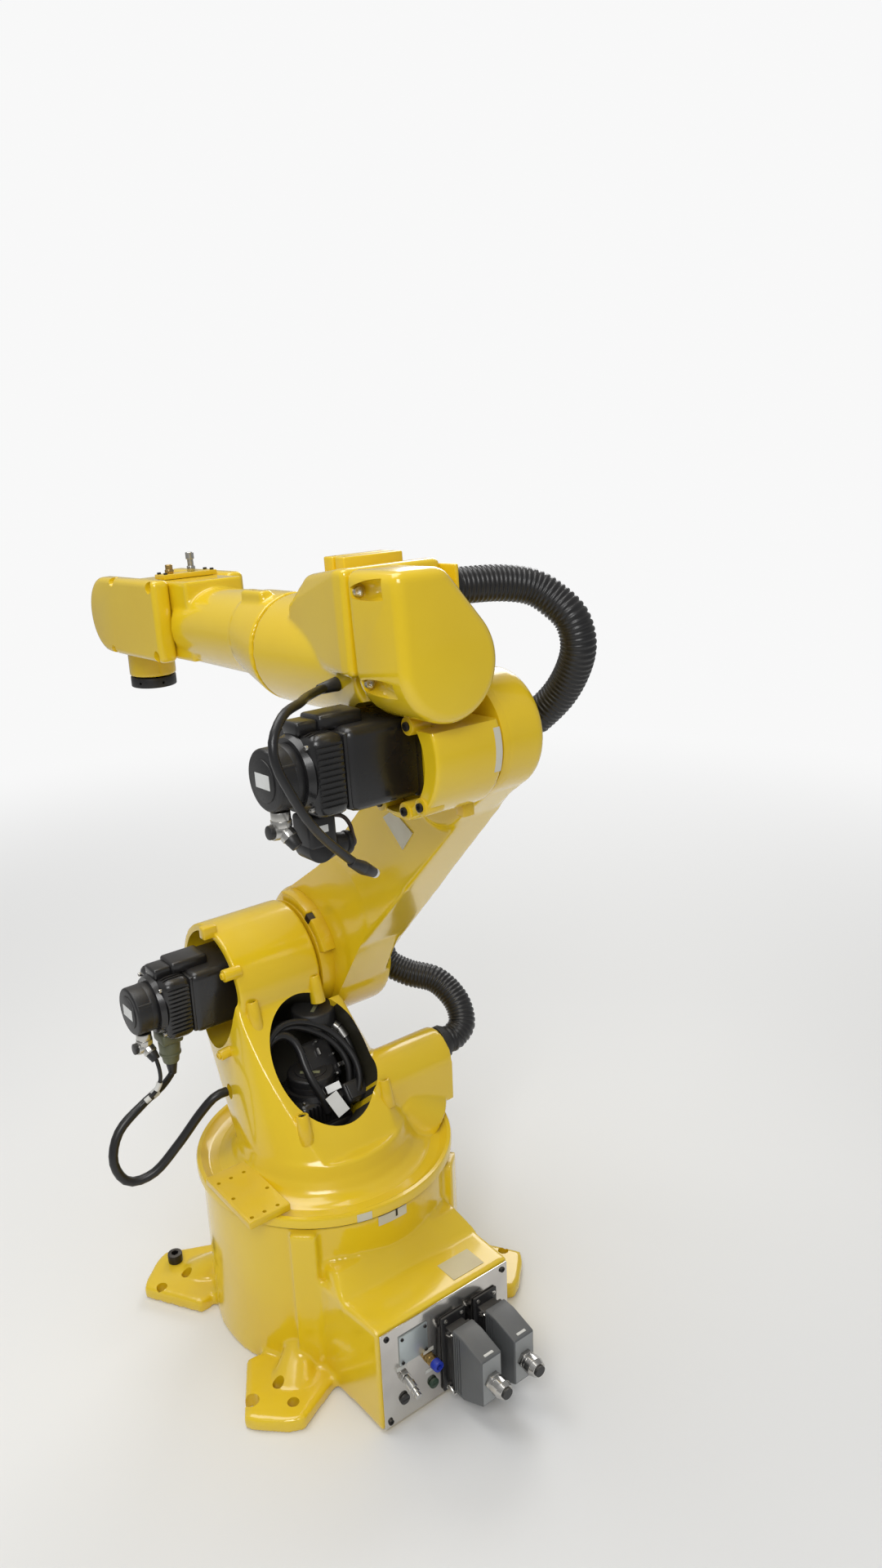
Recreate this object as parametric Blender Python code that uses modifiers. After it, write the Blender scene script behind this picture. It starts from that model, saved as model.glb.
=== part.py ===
"""Six-axis industrial robot arm, floor mounted, in metres with +Z up.

The origin is the centre of the base's underside, on the first axis. +X is the way the arm
reaches, +Y is the side of the second and third axis motors, and -Y is the side of the lower
arm and its conduit hoses. Each link is modelled in the frame of its own joint, an empty on the
joint's axis, so the three pose angles below set the pose without changing any piece.
"""
import math

import bmesh
import bpy
from mathutils import Matrix, Vector

# Pose
LOWER_ARM_LEAN = math.radians(44.4)
FOREARM_PITCH = math.radians(2.8)
WRIST_ANGLE = math.radians(87.2)

# Links, from axis to axis
J2_REACH = 0.160
J2_HEIGHT = 0.535
LOWER_ARM_LENGTH = 0.665
ELBOW_RISE = 0.116
FOREARM_LENGTH = 0.775
WRIST_TO_FLANGE = 0.120

# Clearances and facets
SEAT = 0.0003
RUNNING_GAP = 0.005
SINK = 0.004
PROUD = 0.001
CLEAR = 0.400
MERGE = 0.0001
SHARP = math.radians(30)
ROUND = 64
MIDDLE_ROUND = 32
SMALL_ROUND = 16

# Base
BASE_RADIUS = 0.200
BASE_TOP = 0.265
BEARING_RADIUS = 0.130
FOOT_THICKNESS = 0.024
FOOT_OUTLINE = ((0.090, 0.090), (0.190, 0.118), (0.231, 0.204), (0.222, 0.222), (0.190, 0.258),
                (0.172, 0.270), (0.078, 0.214))
FOOT_HOLES = ((0.153, 0.201), (0.153, 0.247), (0.196, 0.201))
FOOT_HOLE_RADIUS = 0.009
BOX_REAR = 0.310
BOX_HALF_WIDTH = 0.121
BOX_FLARE = 0.012
BOX_TOP = 0.178
BOX_BOTTOM = 0.005
POST_ANGLE = math.radians(138)
POST_FACE = 0.213
POST_WIDTH = 0.040
POST_DEPTH = 0.060
BOLT_RADIUS = 0.008
BOLT_HEAD_RADIUS = 0.0125
BOLT_HEAD_HEIGHT = 0.016

# Connector panel, whose pieces lie on it at (y, z)
PANEL_THICKNESS = 0.003
PANEL_MARGIN = 0.003
CONNECTOR_SIDES = {"left": -0.009, "right": -0.071}
HOUSING_WIDTH = 0.044
HOUSING_LOW = 0.013
HOUSING_HIGH = 0.146
HOUSING_DEPTH = 0.024
HOOD_WIDTH = 0.038
HOOD_LENGTH = 0.066
HOOD_LOW = 0.028
HOOD_HIGH = 0.140
HOOD_END_LOW = 0.050
HOOD_END_HIGH = 0.128
GLAND_RADIUS = 0.0145
GLAND_LENGTH = 0.034
COVER_PLATE_CENTRE = (0.063, 0.132)
COVER_PLATE_SIZE = (0.050, 0.050, 0.003)
AIR_FITTING_AT = (0.036, 0.090)
AIR_FITTING_RADIUS = 0.009
AIR_FITTING_REACH = 0.026
HOSE_TAIL_AT = (0.082, 0.086)
HOSE_TAIL_RADIUS = 0.007
HOSE_TAIL_REACH = 0.036
BLACK_PLUG_AT = (0.083, 0.045)
BLACK_PLUG_REACH = 0.005
GREEN_PLUG_AT = (0.030, 0.040)
GREEN_PLUG_REACH = 0.006
PLUG_RADIUS = 0.008

# Turret
TURRET_RADIUS = 0.207
RING_HEIGHT = 0.016
LIP_WIDTH = 0.009
DISH_DEPTH = 0.010
DISH_ROOT = 0.020
DRUM_RADIUS = 0.137
DRUM_HEIGHT = 0.030
HEAD_RADIUS = 0.101
HEAD_MOTOR_SIDE = 0.096
HEAD_ARM_SIDE = -0.050
HEAD_BORE = 0.091
HEAD_BORE_DEPTH = 0.052
WINDOW_X = -0.012
WINDOW_RISE = 0.151
WINDOW_TILT = math.radians(48.9)
WINDOW_HALF_WIDTH = 0.083
WINDOW_HALF_LENGTH = 0.110
WINDOW_DEPTH = 0.150
WINDOW_REACH = 0.060
WELL_DEPTH = 0.144
WELL_GAP = 0.006
WINDOW_SCREWS = ((0.095, 0.072), (0.095, -0.034), (-0.095, 0.072), (-0.095, -0.072))
SCREW_BOSS_RADIUS = 0.011
SCREW_BOSS_FOOT = 0.014
SCREW_BOSS_ROOT = 0.012
SCREW_BOSS_RISE = (0.006, 0.0, 0.030)
STOP_PAD_LOW = (-0.125, 0.139)
STOP_PAD_HIGH = (0.013, 0.208)
STOP_PAD_THICKNESS = 0.013
HOSE_BOX_LOW = (-0.075, -0.215, 0.300)
HOSE_BOX_HIGH = (0.020, -0.060, 0.370)
J1_MOTOR_SIZE = 0.100
J1_MOTOR_HEIGHT = 0.085
J1_CAP_RADIUS = 0.036
J1_CAP_HEIGHT = 0.026
J1_MOTOR_X = 0.030

# Motors of the second and third axes
MOTOR_BODY = 0.104
MOTOR_LENGTH = 0.160
MOTOR_RIDGE = (0.046, 0.016, 0.096)
MOTOR_CAP_RADIUS = 0.039
MOTOR_CAP_LENGTH = 0.036
MOTOR_CORNER = 0.014
J3_MOTOR_SHIFT = (0.034, -0.006)
J2_CAP_END = 0.241
J3_CAP_END = 0.2046
LEAD_RADIUS = 0.0075
LEAD_POINTS = 28
MOTOR_PLUG_HALF_WIDTH = 0.022
ENCODER_PLUG_GAP = 0.0008
J2_MOTOR_PLUG = ((-0.0447, -0.0047), 0.110)
J2_ENCODER_PLUG = ((-0.020, 0.0008), (0.012, 0.0333), 0.080)
J3_MOTOR_PLUG = ((-0.0483, -0.0063), 0.114)
J3_ENCODER_PLUG = ((-0.016, 0.0007), (0.016, 0.0337), 0.072)
J2_LEAD = ((0.160, 0.180, 0.4242), (0.160, 0.180, 0.406), (0.148, 0.206, 0.394),
           (0.137, 0.243, 0.385), (0.130, 0.290, 0.358), (0.122, 0.308, 0.315),
           (0.115, 0.292, 0.276), (0.107, 0.252, 0.277), (0.100, 0.209, 0.314),
           (0.092, 0.172, 0.356), (0.084, 0.147, 0.381), (0.083, 0.1255, 0.383))
J3_LEAD = ((0.060, 0.0754, 0.085), (0.058, 0.097, 0.083), (0.034, 0.134, 0.082),
           (0.001, 0.163, 0.084), (-0.024, 0.200, 0.080), (-0.038, 0.224, 0.058),
           (-0.043, 0.226, 0.030), (-0.045, 0.214, -0.002), (-0.043, 0.195, -0.038),
           (-0.031, 0.167, -0.072), (-0.020, 0.136, -0.102), (-0.014, 0.112, -0.124),
           (-0.008, 0.090, -0.139))

# Lower arm
ARM_NEAR = -0.080
ARM_FAR = -0.185
ARM_FAR_TOP = -0.140
ARM_FOOT_RADIUS = 0.115
ARM_HEAD_RADIUS = 0.081
ARM_WAIST_LOW = 0.080
ARM_WAIST_HIGH = 0.070
HUB_RADIUS = 0.098

# Conduit hoses
HOSE_RADIUS = 0.0235
HOSE_POINTS = 40
NOZZLE_RADIUS = 0.029
LOWER_HOSE = ((-0.028, -0.2286, 0.385), (-0.028, -0.240, 0.385), (-0.028, -0.252, 0.386),
              (-0.024, -0.274, 0.402), (-0.002, -0.280, 0.434), (0.037, -0.268, 0.462),
              (0.076, -0.238, 0.472), (0.105, -0.217, 0.4868), (0.1200, -0.2150, 0.5015),
              (0.1349, -0.2150, 0.5161))
LOWER_CLAMP_LOW = (-0.030, -0.244, -0.024)
LOWER_CLAMP_HIGH = (0.030, -0.1863, 0.038)
UPPER_HOSE = ((0.000, -0.0526, 0.190), (0.000, -0.065, 0.190), (-0.001, -0.078, 0.190),
              (-0.014, -0.130, 0.188), (-0.032, -0.168, 0.180), (-0.052, -0.188, 0.162),
              (-0.072, -0.200, 0.137), (-0.076, -0.206, 0.104), (-0.062, -0.208, 0.070),
              (-0.036, -0.205, 0.034),
              (-0.002, -0.193, 0.001), (0.000, -0.184, 0.000), (0.000, -0.1740, 0.000))
UPPER_CLAMP_AT = (0.0, LOWER_ARM_LENGTH)
UPPER_CLAMP_SEAT = -0.1472
UPPER_CLAMP_DEPTH = 0.026

# Elbow
ELBOW_MOTOR_SIDE = 0.038
ELBOW_ARM_SIDE = -0.064
ELBOW_RADIUS = 0.086
ELBOW_BORE = 0.072
ELBOW_BORE_DEPTH = 0.030
J4_SEAM = 0.265
HOUSING_RADIUS = 0.076
HOUSING_DROP = 0.013
HOUSING_BACK = 0.020
TOP_PADS = ((0.070, 0.091), (0.096, 0.117))
TOP_PAD_SIDES = (-0.047, 0.042)
TOP_PAD_TOP = 0.235
COVER_SEAM = -0.001
COVER_DEPTH = 0.104
COVER_LEFT = 0.092
COVER_RIGHT = -0.052
COVER_TOP = 0.227
COVER_BOTTOM = 0.034
COVER_EDGE = 0.013
COVER_CREST_DEPTH = 0.020
COVER_CREST_LOW = 0.200
COVER_ROUND = 0.070
COVER_ROUND_Y = 0.020
CASING_EDGE = 0.008
CASING_LOW = 0.100
CASING_SHOULDER = ((0.110, COVER_RIGHT, CASING_LOW), (0.122, 0.066, 0.215))
CASING_NOSE = ((0.190, -0.040, 0.120), (0.196, 0.055, 0.170))
TOP_PAD_FOOT = 0.197

# Forearm and wrist
TUBE_RADIUS = 0.064
TUBE_END_RADIUS = 0.059
TUBE_END = FOREARM_LENGTH - 0.2195
BELLY_END = 0.352
LUG_LOW = (0.290, 0.020, 0.040)
LUG_HIGH = (0.350, 0.040, 0.068)
WRIST_HALF_WIDTH = 0.080
WRIST_BACK = FOREARM_LENGTH - 0.270
WRIST_COVER_THICKNESS = 0.030
WRIST_SLOT = 0.046
WRIST_SLOT_BACK = FOREARM_LENGTH - 0.089
WRIST_NOSE = (FOREARM_LENGTH - 0.013, 0.013, 0.063)
WRIST_TOP = 0.076
WRIST_BOTTOM = -0.052
WRIST_TRIM = 0.003
WRIST_COVER_BACK = FOREARM_LENGTH - 0.219
WRIST_COVER_EDGE = 0.020
WRIST_COVER_ROUND = 0.007
WRIST_BARREL = 0.050
WRIST_PIN = 0.020
FITTINGS_PLATE_LOW = (FOREARM_LENGTH - 0.189, -0.048, 0.0733)
FITTINGS_PLATE_HIGH = (FOREARM_LENGTH - 0.153, 0.044, 0.0813)
FITTINGS_X = FOREARM_LENGTH - 0.171
SHORT_FITTING = (0.026, 0.008, 0.014)
TALL_FITTING = (-0.012, 0.0075, 0.030)
FLANGE_RADIUS = 0.039
FLANGE_THICKNESS = 0.017
FLANGE_GAP = 0.002


def clear_scene():
    """Remove whatever the file held before the model is built."""
    for obj in list(bpy.data.objects):
        bpy.data.objects.remove(obj)


def new_collection(name):
    """Make a collection in the scene."""
    made = bpy.data.collections.new(name)
    bpy.context.scene.collection.children.link(made)
    return made


def new_material(name, colour, roughness, metallic=0.0):
    """Make a plain material with one Principled shader."""
    made = bpy.data.materials.new(name)
    made.use_nodes = True
    shader = made.node_tree.nodes["Principled BSDF"]
    shader.inputs["Base Color"].default_value = (*colour, 1.0)
    shader.inputs["Roughness"].default_value = roughness
    shader.inputs["Metallic"].default_value = metallic
    return made


clear_scene()
ARM = new_collection("industrial_robot_arm")
TOOLS = new_collection("cutters_and_added_shapes")
YELLOW = new_material("yellow_paint", (0.76, 0.52, 0.02), 0.25)
BLACK = new_material("black_paint", (0.012, 0.012, 0.014), 0.35)
RUBBER = new_material("black_rubber", (0.015, 0.015, 0.015), 0.6)
STEEL = new_material("bright_steel", (0.60, 0.60, 0.58), 0.2, 1.0)
GREY = new_material("grey_hood", (0.16, 0.17, 0.17), 0.5)
BRASS = new_material("brass", (0.70, 0.48, 0.20), 0.3, 1.0)
OLIVE = new_material("olive_plug", (0.20, 0.22, 0.12), 0.5)
GREEN = new_material("dark_green_plug", (0.02, 0.06, 0.03), 0.5)


def joint_frame(name, parent, location, turn=0.0):
    """Place an empty on a joint's axis, turned about Y."""
    frame = bpy.data.objects.new(name, None)
    ARM.objects.link(frame)
    frame.parent = parent
    frame.location = location
    frame.rotation_euler = (0.0, turn, 0.0)
    return frame


def rod(start, end, radius, end_radius=None, sides=ROUND):
    """Make a closed cylinder or cone from one point to another."""
    start, end = Vector(start), Vector(end)
    along = end - start
    turn = along.to_track_quat("Z", "X").to_matrix().to_4x4()
    shape = bmesh.new()
    bmesh.ops.create_cone(
        shape, cap_ends=True, segments=sides, radius1=radius,
        radius2=radius if end_radius is None else end_radius, depth=along.length,
        matrix=Matrix.Translation((start + end) / 2) @ turn)
    return shape


def block(low, high):
    """Make a box between two corners."""
    low, high = Vector(low), Vector(high)
    size = high - low
    shape = bmesh.new()
    bmesh.ops.create_cube(
        shape, size=1.0, matrix=Matrix.Translation((low + high) / 2) @ Matrix.Diagonal((*size, 1.0)))
    return shape


def hull(*shapes):
    """Wrap shapes in one convex solid."""
    joined = bmesh.new()
    for shape in shapes:
        scratch = bpy.data.meshes.new("scratch")
        shape.to_mesh(scratch)
        shape.free()
        joined.from_mesh(scratch)
        bpy.data.meshes.remove(scratch)
    wrapped = bmesh.ops.convex_hull(joined, input=joined.verts[:], use_existing_faces=False)
    skin = [item for item in wrapped["geom"] if isinstance(item, bmesh.types.BMFace)]
    solid = bmesh.new()
    copies = {}
    for face in skin:
        for corner in face.verts:
            if corner not in copies:
                copies[corner] = solid.verts.new(corner.co)
        solid.faces.new([copies[corner] for corner in face.verts])
    joined.free()
    bmesh.ops.dissolve_limit(solid, angle_limit=math.radians(0.5), verts=solid.verts[:],
                             edges=solid.edges[:])
    bmesh.ops.recalc_face_normals(solid, faces=solid.faces[:])
    return solid


def soften(shape, radius, ahead=None, steps=2):
    """Round a shape's sharp edges, or only those that lie at one place along X or beyond it."""
    edges = [edge for edge in shape.edges
             if len(edge.link_faces) == 2 and edge.calc_face_angle() > SHARP
             and (ahead is None or all(corner.co.x < ahead for corner in edge.verts))]
    bmesh.ops.bevel(shape, geom=edges, offset=radius, segments=steps, profile=0.5,
                    affect="EDGES", clamp_overlap=True)
    return shape


def turned(profile, start, end, sides=ROUND):
    """Turn (distance, radius) points about the line from one point towards another."""
    start, end = Vector(start), Vector(end)
    turn = (end - start).to_track_quat("Z", "X").to_matrix().to_4x4()
    shape = bmesh.new()
    points = [(0.0, 0.0, profile[0][0]), *((r, 0.0, d) for d, r in profile),
              (0.0, 0.0, profile[-1][0])]
    corners = [shape.verts.new(point) for point in points]
    for low, high in zip(corners, corners[1:]):
        shape.edges.new((low, high))
    bmesh.ops.spin(shape, geom=shape.verts[:] + shape.edges[:], cent=(0, 0, 0), axis=(0, 0, 1),
                   angle=math.tau, steps=sides, use_merge=True)
    bmesh.ops.remove_doubles(shape, verts=shape.verts[:], dist=MERGE)
    bmesh.ops.recalc_face_normals(shape, faces=shape.faces[:])
    bmesh.ops.transform(shape, matrix=Matrix.Translation(start) @ turn, verts=shape.verts[:])
    return shape


def slab(outline, low, high, plane="XY"):
    """Extrude a flat outline between two heights, along Z, or along Y or X for other planes."""
    curve = bpy.data.curves.new("outline", "CURVE")
    curve.dimensions = "2D"
    curve.fill_mode = "BOTH"
    curve.extrude = (high - low) / 2
    spline = curve.splines.new("POLY")
    spline.points.add(len(outline) - 1)
    spline.use_cyclic_u = True
    for point, (u, v) in zip(spline.points, outline):
        point.co = (u, v, 0.0, 1.0)
    holder = bpy.data.objects.new("outline", curve)
    mesh = bpy.data.meshes.new_from_object(holder)
    bpy.data.objects.remove(holder)
    shape = bmesh.new()
    shape.from_mesh(mesh)
    bmesh.ops.remove_doubles(shape, verts=shape.verts[:], dist=MERGE)
    bmesh.ops.recalc_face_normals(shape, faces=shape.faces[:])
    middle = (low + high) / 2
    turns = {
        "XY": Matrix.Translation((0, 0, middle)),
        "XZ": Matrix.Translation((0, middle, 0)) @ Matrix.Rotation(math.radians(90), 4, "X"),
        "YZ": Matrix.Translation((middle, 0, 0)) @ Matrix(((0, 0, 1, 0), (1, 0, 0, 0),
                                                          (0, 1, 0, 0), (0, 0, 0, 1))),
    }
    bmesh.ops.transform(shape, matrix=turns[plane], verts=shape.verts[:])
    return shape


def place(shape, name, parent, home, matrix=None):
    """Put a shape in the scene as an object under a joint's empty."""
    if matrix is not None:
        bmesh.ops.transform(shape, matrix=matrix, verts=shape.verts[:])
    mesh = bpy.data.meshes.new(name)
    shape.to_mesh(mesh)
    shape.free()
    obj = bpy.data.objects.new(name, mesh)
    home.objects.link(obj)
    obj.parent = parent
    return obj


def piece(shape, name, parent, material, matrix=None):
    """Make a named piece of the robot."""
    obj = place(shape, name, parent, ARM, matrix)
    obj.data.materials.append(material)
    obj.data.shade_smooth()
    obj.data.set_sharp_from_angle(angle=SHARP)
    return obj


def change(target, operation, shape, matrix=None):
    """Add a shape to a piece, or cut it away, with a Boolean."""
    tool = place(shape, f"{target.name}_{operation.lower()}", target.parent, TOOLS, matrix)
    tool.hide_render = True
    tool.display_type = "WIRE"
    step = target.modifiers.new(operation.title(), "BOOLEAN")
    step.operation = operation
    step.solver = "EXACT"
    step.object = tool


def join(target, shape, matrix=None):
    """Add a shape to a piece."""
    change(target, "UNION", shape, matrix)


def cut(target, shape, matrix=None):
    """Cut a shape away from a piece."""
    change(target, "DIFFERENCE", shape, matrix)


def smooth_route(points, count):
    """Read evenly spread points from a smooth curve through a route's own points."""
    nodes = [Vector(p) for p in points]
    ends = [nodes[0] * 2 - nodes[1], *nodes, nodes[-1] * 2 - nodes[-2]]
    fine = []
    for a, b, c, d in zip(ends, ends[1:], ends[2:], ends[3:]):
        for step in range(24):
            t = step / 24
            fine.append(0.5 * (2 * b + (c - a) * t + (2 * a - 5 * b + 4 * c - d) * t ** 2
                               + (3 * b - a - 3 * c + d) * t ** 3))
    fine.append(nodes[-1])
    reach = [0.0]
    for low, high in zip(fine, fine[1:]):
        reach.append(reach[-1] + (high - low).length)
    spread, index = [], 0
    for number in range(count):
        wanted = reach[-1] * number / (count - 1)
        while index < len(reach) - 2 and reach[index + 1] < wanted:
            index += 1
        share = (wanted - reach[index]) / (reach[index + 1] - reach[index])
        spread.append(fine[index].lerp(fine[index + 1], share))
    return spread


def tube(name, parent, route, radius, count, material):
    """Make a cable or a hose as a curve with a round section and filled caps."""
    curve = bpy.data.curves.new(name, "CURVE")
    curve.dimensions = "3D"
    curve.bevel_depth = radius
    curve.bevel_resolution = 2
    curve.use_fill_caps = True
    spline = curve.splines.new("POLY")
    points = smooth_route(route, count)
    spline.points.add(len(points) - 1)
    for point, place_at in zip(spline.points, points):
        point.co = (*place_at, 1.0)
    curve.materials.append(material)
    obj = bpy.data.objects.new(name, curve)
    ARM.objects.link(obj)
    obj.parent = parent
    return obj


J1 = joint_frame("j1_axis", None, (0.0, 0.0, 0.0))
J2 = joint_frame("j2_axis", J1, (J2_REACH, 0.0, J2_HEIGHT), -LOWER_ARM_LEAN)
J3 = joint_frame("j3_axis", J2, (0.0, 0.0, LOWER_ARM_LENGTH), LOWER_ARM_LEAN + FOREARM_PITCH)
J4 = joint_frame("j4_axis", J3, (0.0, 0.0, ELBOW_RISE))
J5 = joint_frame("j5_axis", J4, (FOREARM_LENGTH, 0.0, 0.0), WRIST_ANGLE)
J6 = joint_frame("j6_axis", J5, (WRIST_TO_FLANGE, 0.0, 0.0))
GROUND = joint_frame("base_frame", None, (0.0, 0.0, 0.0))


def quadrants():
    """Give the four sign pairs of a shape repeated at each corner."""
    return [(x, y) for x in (1, -1) for y in (1, -1)]


def base_casting():
    """The round base with its four bolted feet, the posts and the connector box."""
    casting = piece(rod((0, 0, 0), (0, 0, BASE_TOP), BASE_RADIUS), "base_casting", GROUND, YELLOW)
    join(casting, rod((0, 0, BASE_TOP - SINK), (0, 0, BASE_TOP + RUNNING_GAP - SEAT),
                      BEARING_RADIUS))
    for x, y in quadrants():
        join(casting, slab([(x * u, y * v) for u, v in FOOT_OUTLINE], 0.0, FOOT_THICKNESS))
        for u, v in FOOT_HOLES:
            cut(casting, rod((x * u, y * v, -SINK), (x * u, y * v, FOOT_THICKNESS + SINK),
                             FOOT_HOLE_RADIUS, sides=SMALL_ROUND))
    flare = BOX_HALF_WIDTH + BOX_FLARE
    join(casting, slab(((-BOX_REAR, -BOX_HALF_WIDTH), (0.0, -flare), (0.0, flare),
                        (-BOX_REAR, BOX_HALF_WIDTH)), BOX_BOTTOM, BOX_TOP))
    for side in (1, -1):
        join(casting, block((POST_FACE - POST_DEPTH, -POST_WIDTH / 2, SINK),
                            (POST_FACE, POST_WIDTH / 2, BASE_TOP - SINK)),
             Matrix.Rotation(side * POST_ANGLE, 4, "Z"))
    return casting


def connector_panel():
    """The bright plate at the rear with its two heavy connectors, fittings and plugs."""
    face = -BOX_REAR - SEAT - PANEL_THICKNESS
    half = BOX_HALF_WIDTH - PANEL_MARGIN
    piece(block((face, -half, BOX_BOTTOM + PANEL_MARGIN), (-BOX_REAR - SEAT, half,
                                                           BOX_TOP - PANEL_MARGIN)),
          "connector_panel", GROUND, STEEL)
    seat = face - SEAT
    for side, y in CONNECTOR_SIDES.items():
        rear = seat - HOUSING_DEPTH
        piece(block((rear, y - HOUSING_WIDTH / 2, HOUSING_LOW),
                    (seat, y + HOUSING_WIDTH / 2, HOUSING_HIGH)),
              f"connector_housing_{side}", GROUND, BLACK)
        near, far, half_hood = rear - SEAT, rear - SEAT - HOOD_LENGTH, HOOD_WIDTH / 2
        hood = slab(((near, HOOD_LOW), (near, HOOD_HIGH), (far, HOOD_END_HIGH),
                     (far, HOOD_END_LOW)), y - half_hood, y + half_hood, "XZ")
        piece(hood, f"connector_hood_{side}", GROUND, GREY)
        middle = (HOOD_END_LOW + HOOD_END_HIGH) / 2
        piece(rod((far - SEAT, y, middle), (far - SEAT - GLAND_LENGTH, y, middle), GLAND_RADIUS,
                  sides=SMALL_ROUND), f"cable_gland_{side}", GROUND, STEEL)
    y, z = COVER_PLATE_CENTRE
    wide, high, thick = COVER_PLATE_SIZE
    piece(block((seat - thick, y - wide / 2, z - high / 2), (seat, y + wide / 2, z + high / 2)),
          "panel_cover_plate", GROUND, STEEL)
    for name, (y, z), radius, reach, material in (
            ("air_fitting", AIR_FITTING_AT, AIR_FITTING_RADIUS, AIR_FITTING_REACH, BRASS),
            ("hose_tail_fitting", HOSE_TAIL_AT, HOSE_TAIL_RADIUS, HOSE_TAIL_REACH, STEEL),
            ("round_black_plug", BLACK_PLUG_AT, PLUG_RADIUS, BLACK_PLUG_REACH, BLACK),
            ("round_green_plug", GREEN_PLUG_AT, PLUG_RADIUS, GREEN_PLUG_REACH, GREEN)):
        piece(rod((seat, y, z), (seat - reach, y, z), radius, sides=SMALL_ROUND), name, GROUND,
              material)


def anchor_bolt():
    """The one socket head bolt that stands in the front left foot."""
    x, y = FOOT_HOLES[2]
    bolt = piece(rod((x, y, SEAT), (x, y, FOOT_THICKNESS + SINK), BOLT_RADIUS,
                     sides=SMALL_ROUND), "anchor_bolt", GROUND, BLACK)
    join(bolt, rod((x, y, FOOT_THICKNESS + SEAT), (x, y, FOOT_THICKNESS + SEAT + BOLT_HEAD_HEIGHT),
                   BOLT_HEAD_RADIUS, sides=SMALL_ROUND))


def window_frame():
    """The frame of the oval window, Z out of it and X up its slope."""
    ring_top = BASE_TOP + RUNNING_GAP + RING_HEIGHT
    centre = Matrix.Translation((WINDOW_X, 0.0, ring_top + WINDOW_RISE))
    return centre @ Matrix.Rotation(-WINDOW_TILT, 4, "Y")


def turret_casting():
    """The turning ring with the hollow body that carries the second axis."""
    low = BASE_TOP + RUNNING_GAP
    top = low + RING_HEIGHT
    dish = top - DISH_DEPTH
    body = hull(rod((0, 0, dish - SINK), (0, 0, top + DRUM_HEIGHT), DRUM_RADIUS),
                rod((J2_REACH, HEAD_ARM_SIDE + SINK, J2_HEIGHT),
                    (J2_REACH, HEAD_MOTOR_SIDE - SINK, J2_HEIGHT), HEAD_RADIUS - SINK))
    casting = piece(body, "turret_casting", J1, YELLOW)
    cut(casting, block((-CLEAR, -CLEAR, 0.0), (CLEAR, CLEAR, CLEAR)), window_frame())
    cut(casting, rod((J2_REACH, -TURRET_RADIUS, J2_HEIGHT),
                     (J2_REACH, HEAD_ARM_SIDE + SINK / 2, J2_HEIGHT),
                     ARM_FOOT_RADIUS + RUNNING_GAP))
    join(casting, rod((J2_REACH, HEAD_ARM_SIDE, J2_HEIGHT), (J2_REACH, HEAD_MOTOR_SIDE, J2_HEIGHT),
                      HEAD_RADIUS))
    join(casting, turned(((low, TURRET_RADIUS), (top, TURRET_RADIUS),
                          (top, TURRET_RADIUS - LIP_WIDTH), (dish, TURRET_RADIUS - 2 * LIP_WIDTH),
                          (dish, DRUM_RADIUS - DISH_ROOT)), (0, 0, 0), (0, 0, 1)))
    for x, y in WINDOW_SCREWS:
        foot = window_frame() @ Vector((x, y, -SCREW_BOSS_ROOT))
        join(casting, rod(foot, foot + Vector(SCREW_BOSS_RISE), SCREW_BOSS_FOOT,
                          SCREW_BOSS_RADIUS, sides=SMALL_ROUND))
    low_x, far_y, low_z = HOSE_BOX_LOW
    high_x, near_y, high_z = HOSE_BOX_HIGH
    crown = ((low_x + high_x) / 2, high_z, (high_x - low_x) / 2)
    join(casting, hull(block(HOSE_BOX_LOW, HOSE_BOX_HIGH),
                       rod((crown[0], far_y, crown[1]), (crown[0], near_y, crown[1]), crown[2],
                           sides=MIDDLE_ROUND)))
    oval = rod((0, 0, -WINDOW_DEPTH), (0, 0, WINDOW_REACH), 1.0)
    bmesh.ops.scale(oval, vec=(WINDOW_HALF_LENGTH, WINDOW_HALF_WIDTH, 1.0), verts=oval.verts[:])
    cut(casting, oval, window_frame())
    half = J1_MOTOR_SIZE / 2 + WELL_GAP
    cut(casting, block((J1_MOTOR_X - half, -half, top),
                       (J1_MOTOR_X + half, half, top + WELL_DEPTH)))
    cut(casting, rod((J2_REACH, HEAD_MOTOR_SIDE - HEAD_BORE_DEPTH, J2_HEIGHT),
                     (J2_REACH, HEAD_MOTOR_SIDE + HEAD_BORE, J2_HEIGHT), HEAD_BORE))
    return casting


def turret_fittings():
    """The stop pad on the ring, the first axis motor in the window and the hose box."""
    top = BASE_TOP + RUNNING_GAP + RING_HEIGHT
    piece(block((*STOP_PAD_LOW, top + SEAT), (*STOP_PAD_HIGH, top + SEAT + STOP_PAD_THICKNESS)),
          "stop_pad", J1, YELLOW)
    half = J1_MOTOR_SIZE / 2
    floor = top + SEAT
    motor = piece(block((J1_MOTOR_X - half, -half, floor),
                        (J1_MOTOR_X + half, half, floor + J1_MOTOR_HEIGHT)), "j1_motor", J1, BLACK)
    bevel = motor.modifiers.new("Corners", "BEVEL")
    bevel.width = MOTOR_CORNER
    bevel.segments = 2
    cap = floor + J1_MOTOR_HEIGHT + SEAT
    piece(rod((J1_MOTOR_X, 0, cap), (J1_MOTOR_X, 0, cap + J1_CAP_HEIGHT), J1_CAP_RADIUS,
              sides=MIDDLE_ROUND), "j1_motor_cap", J1, BLACK)


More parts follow.
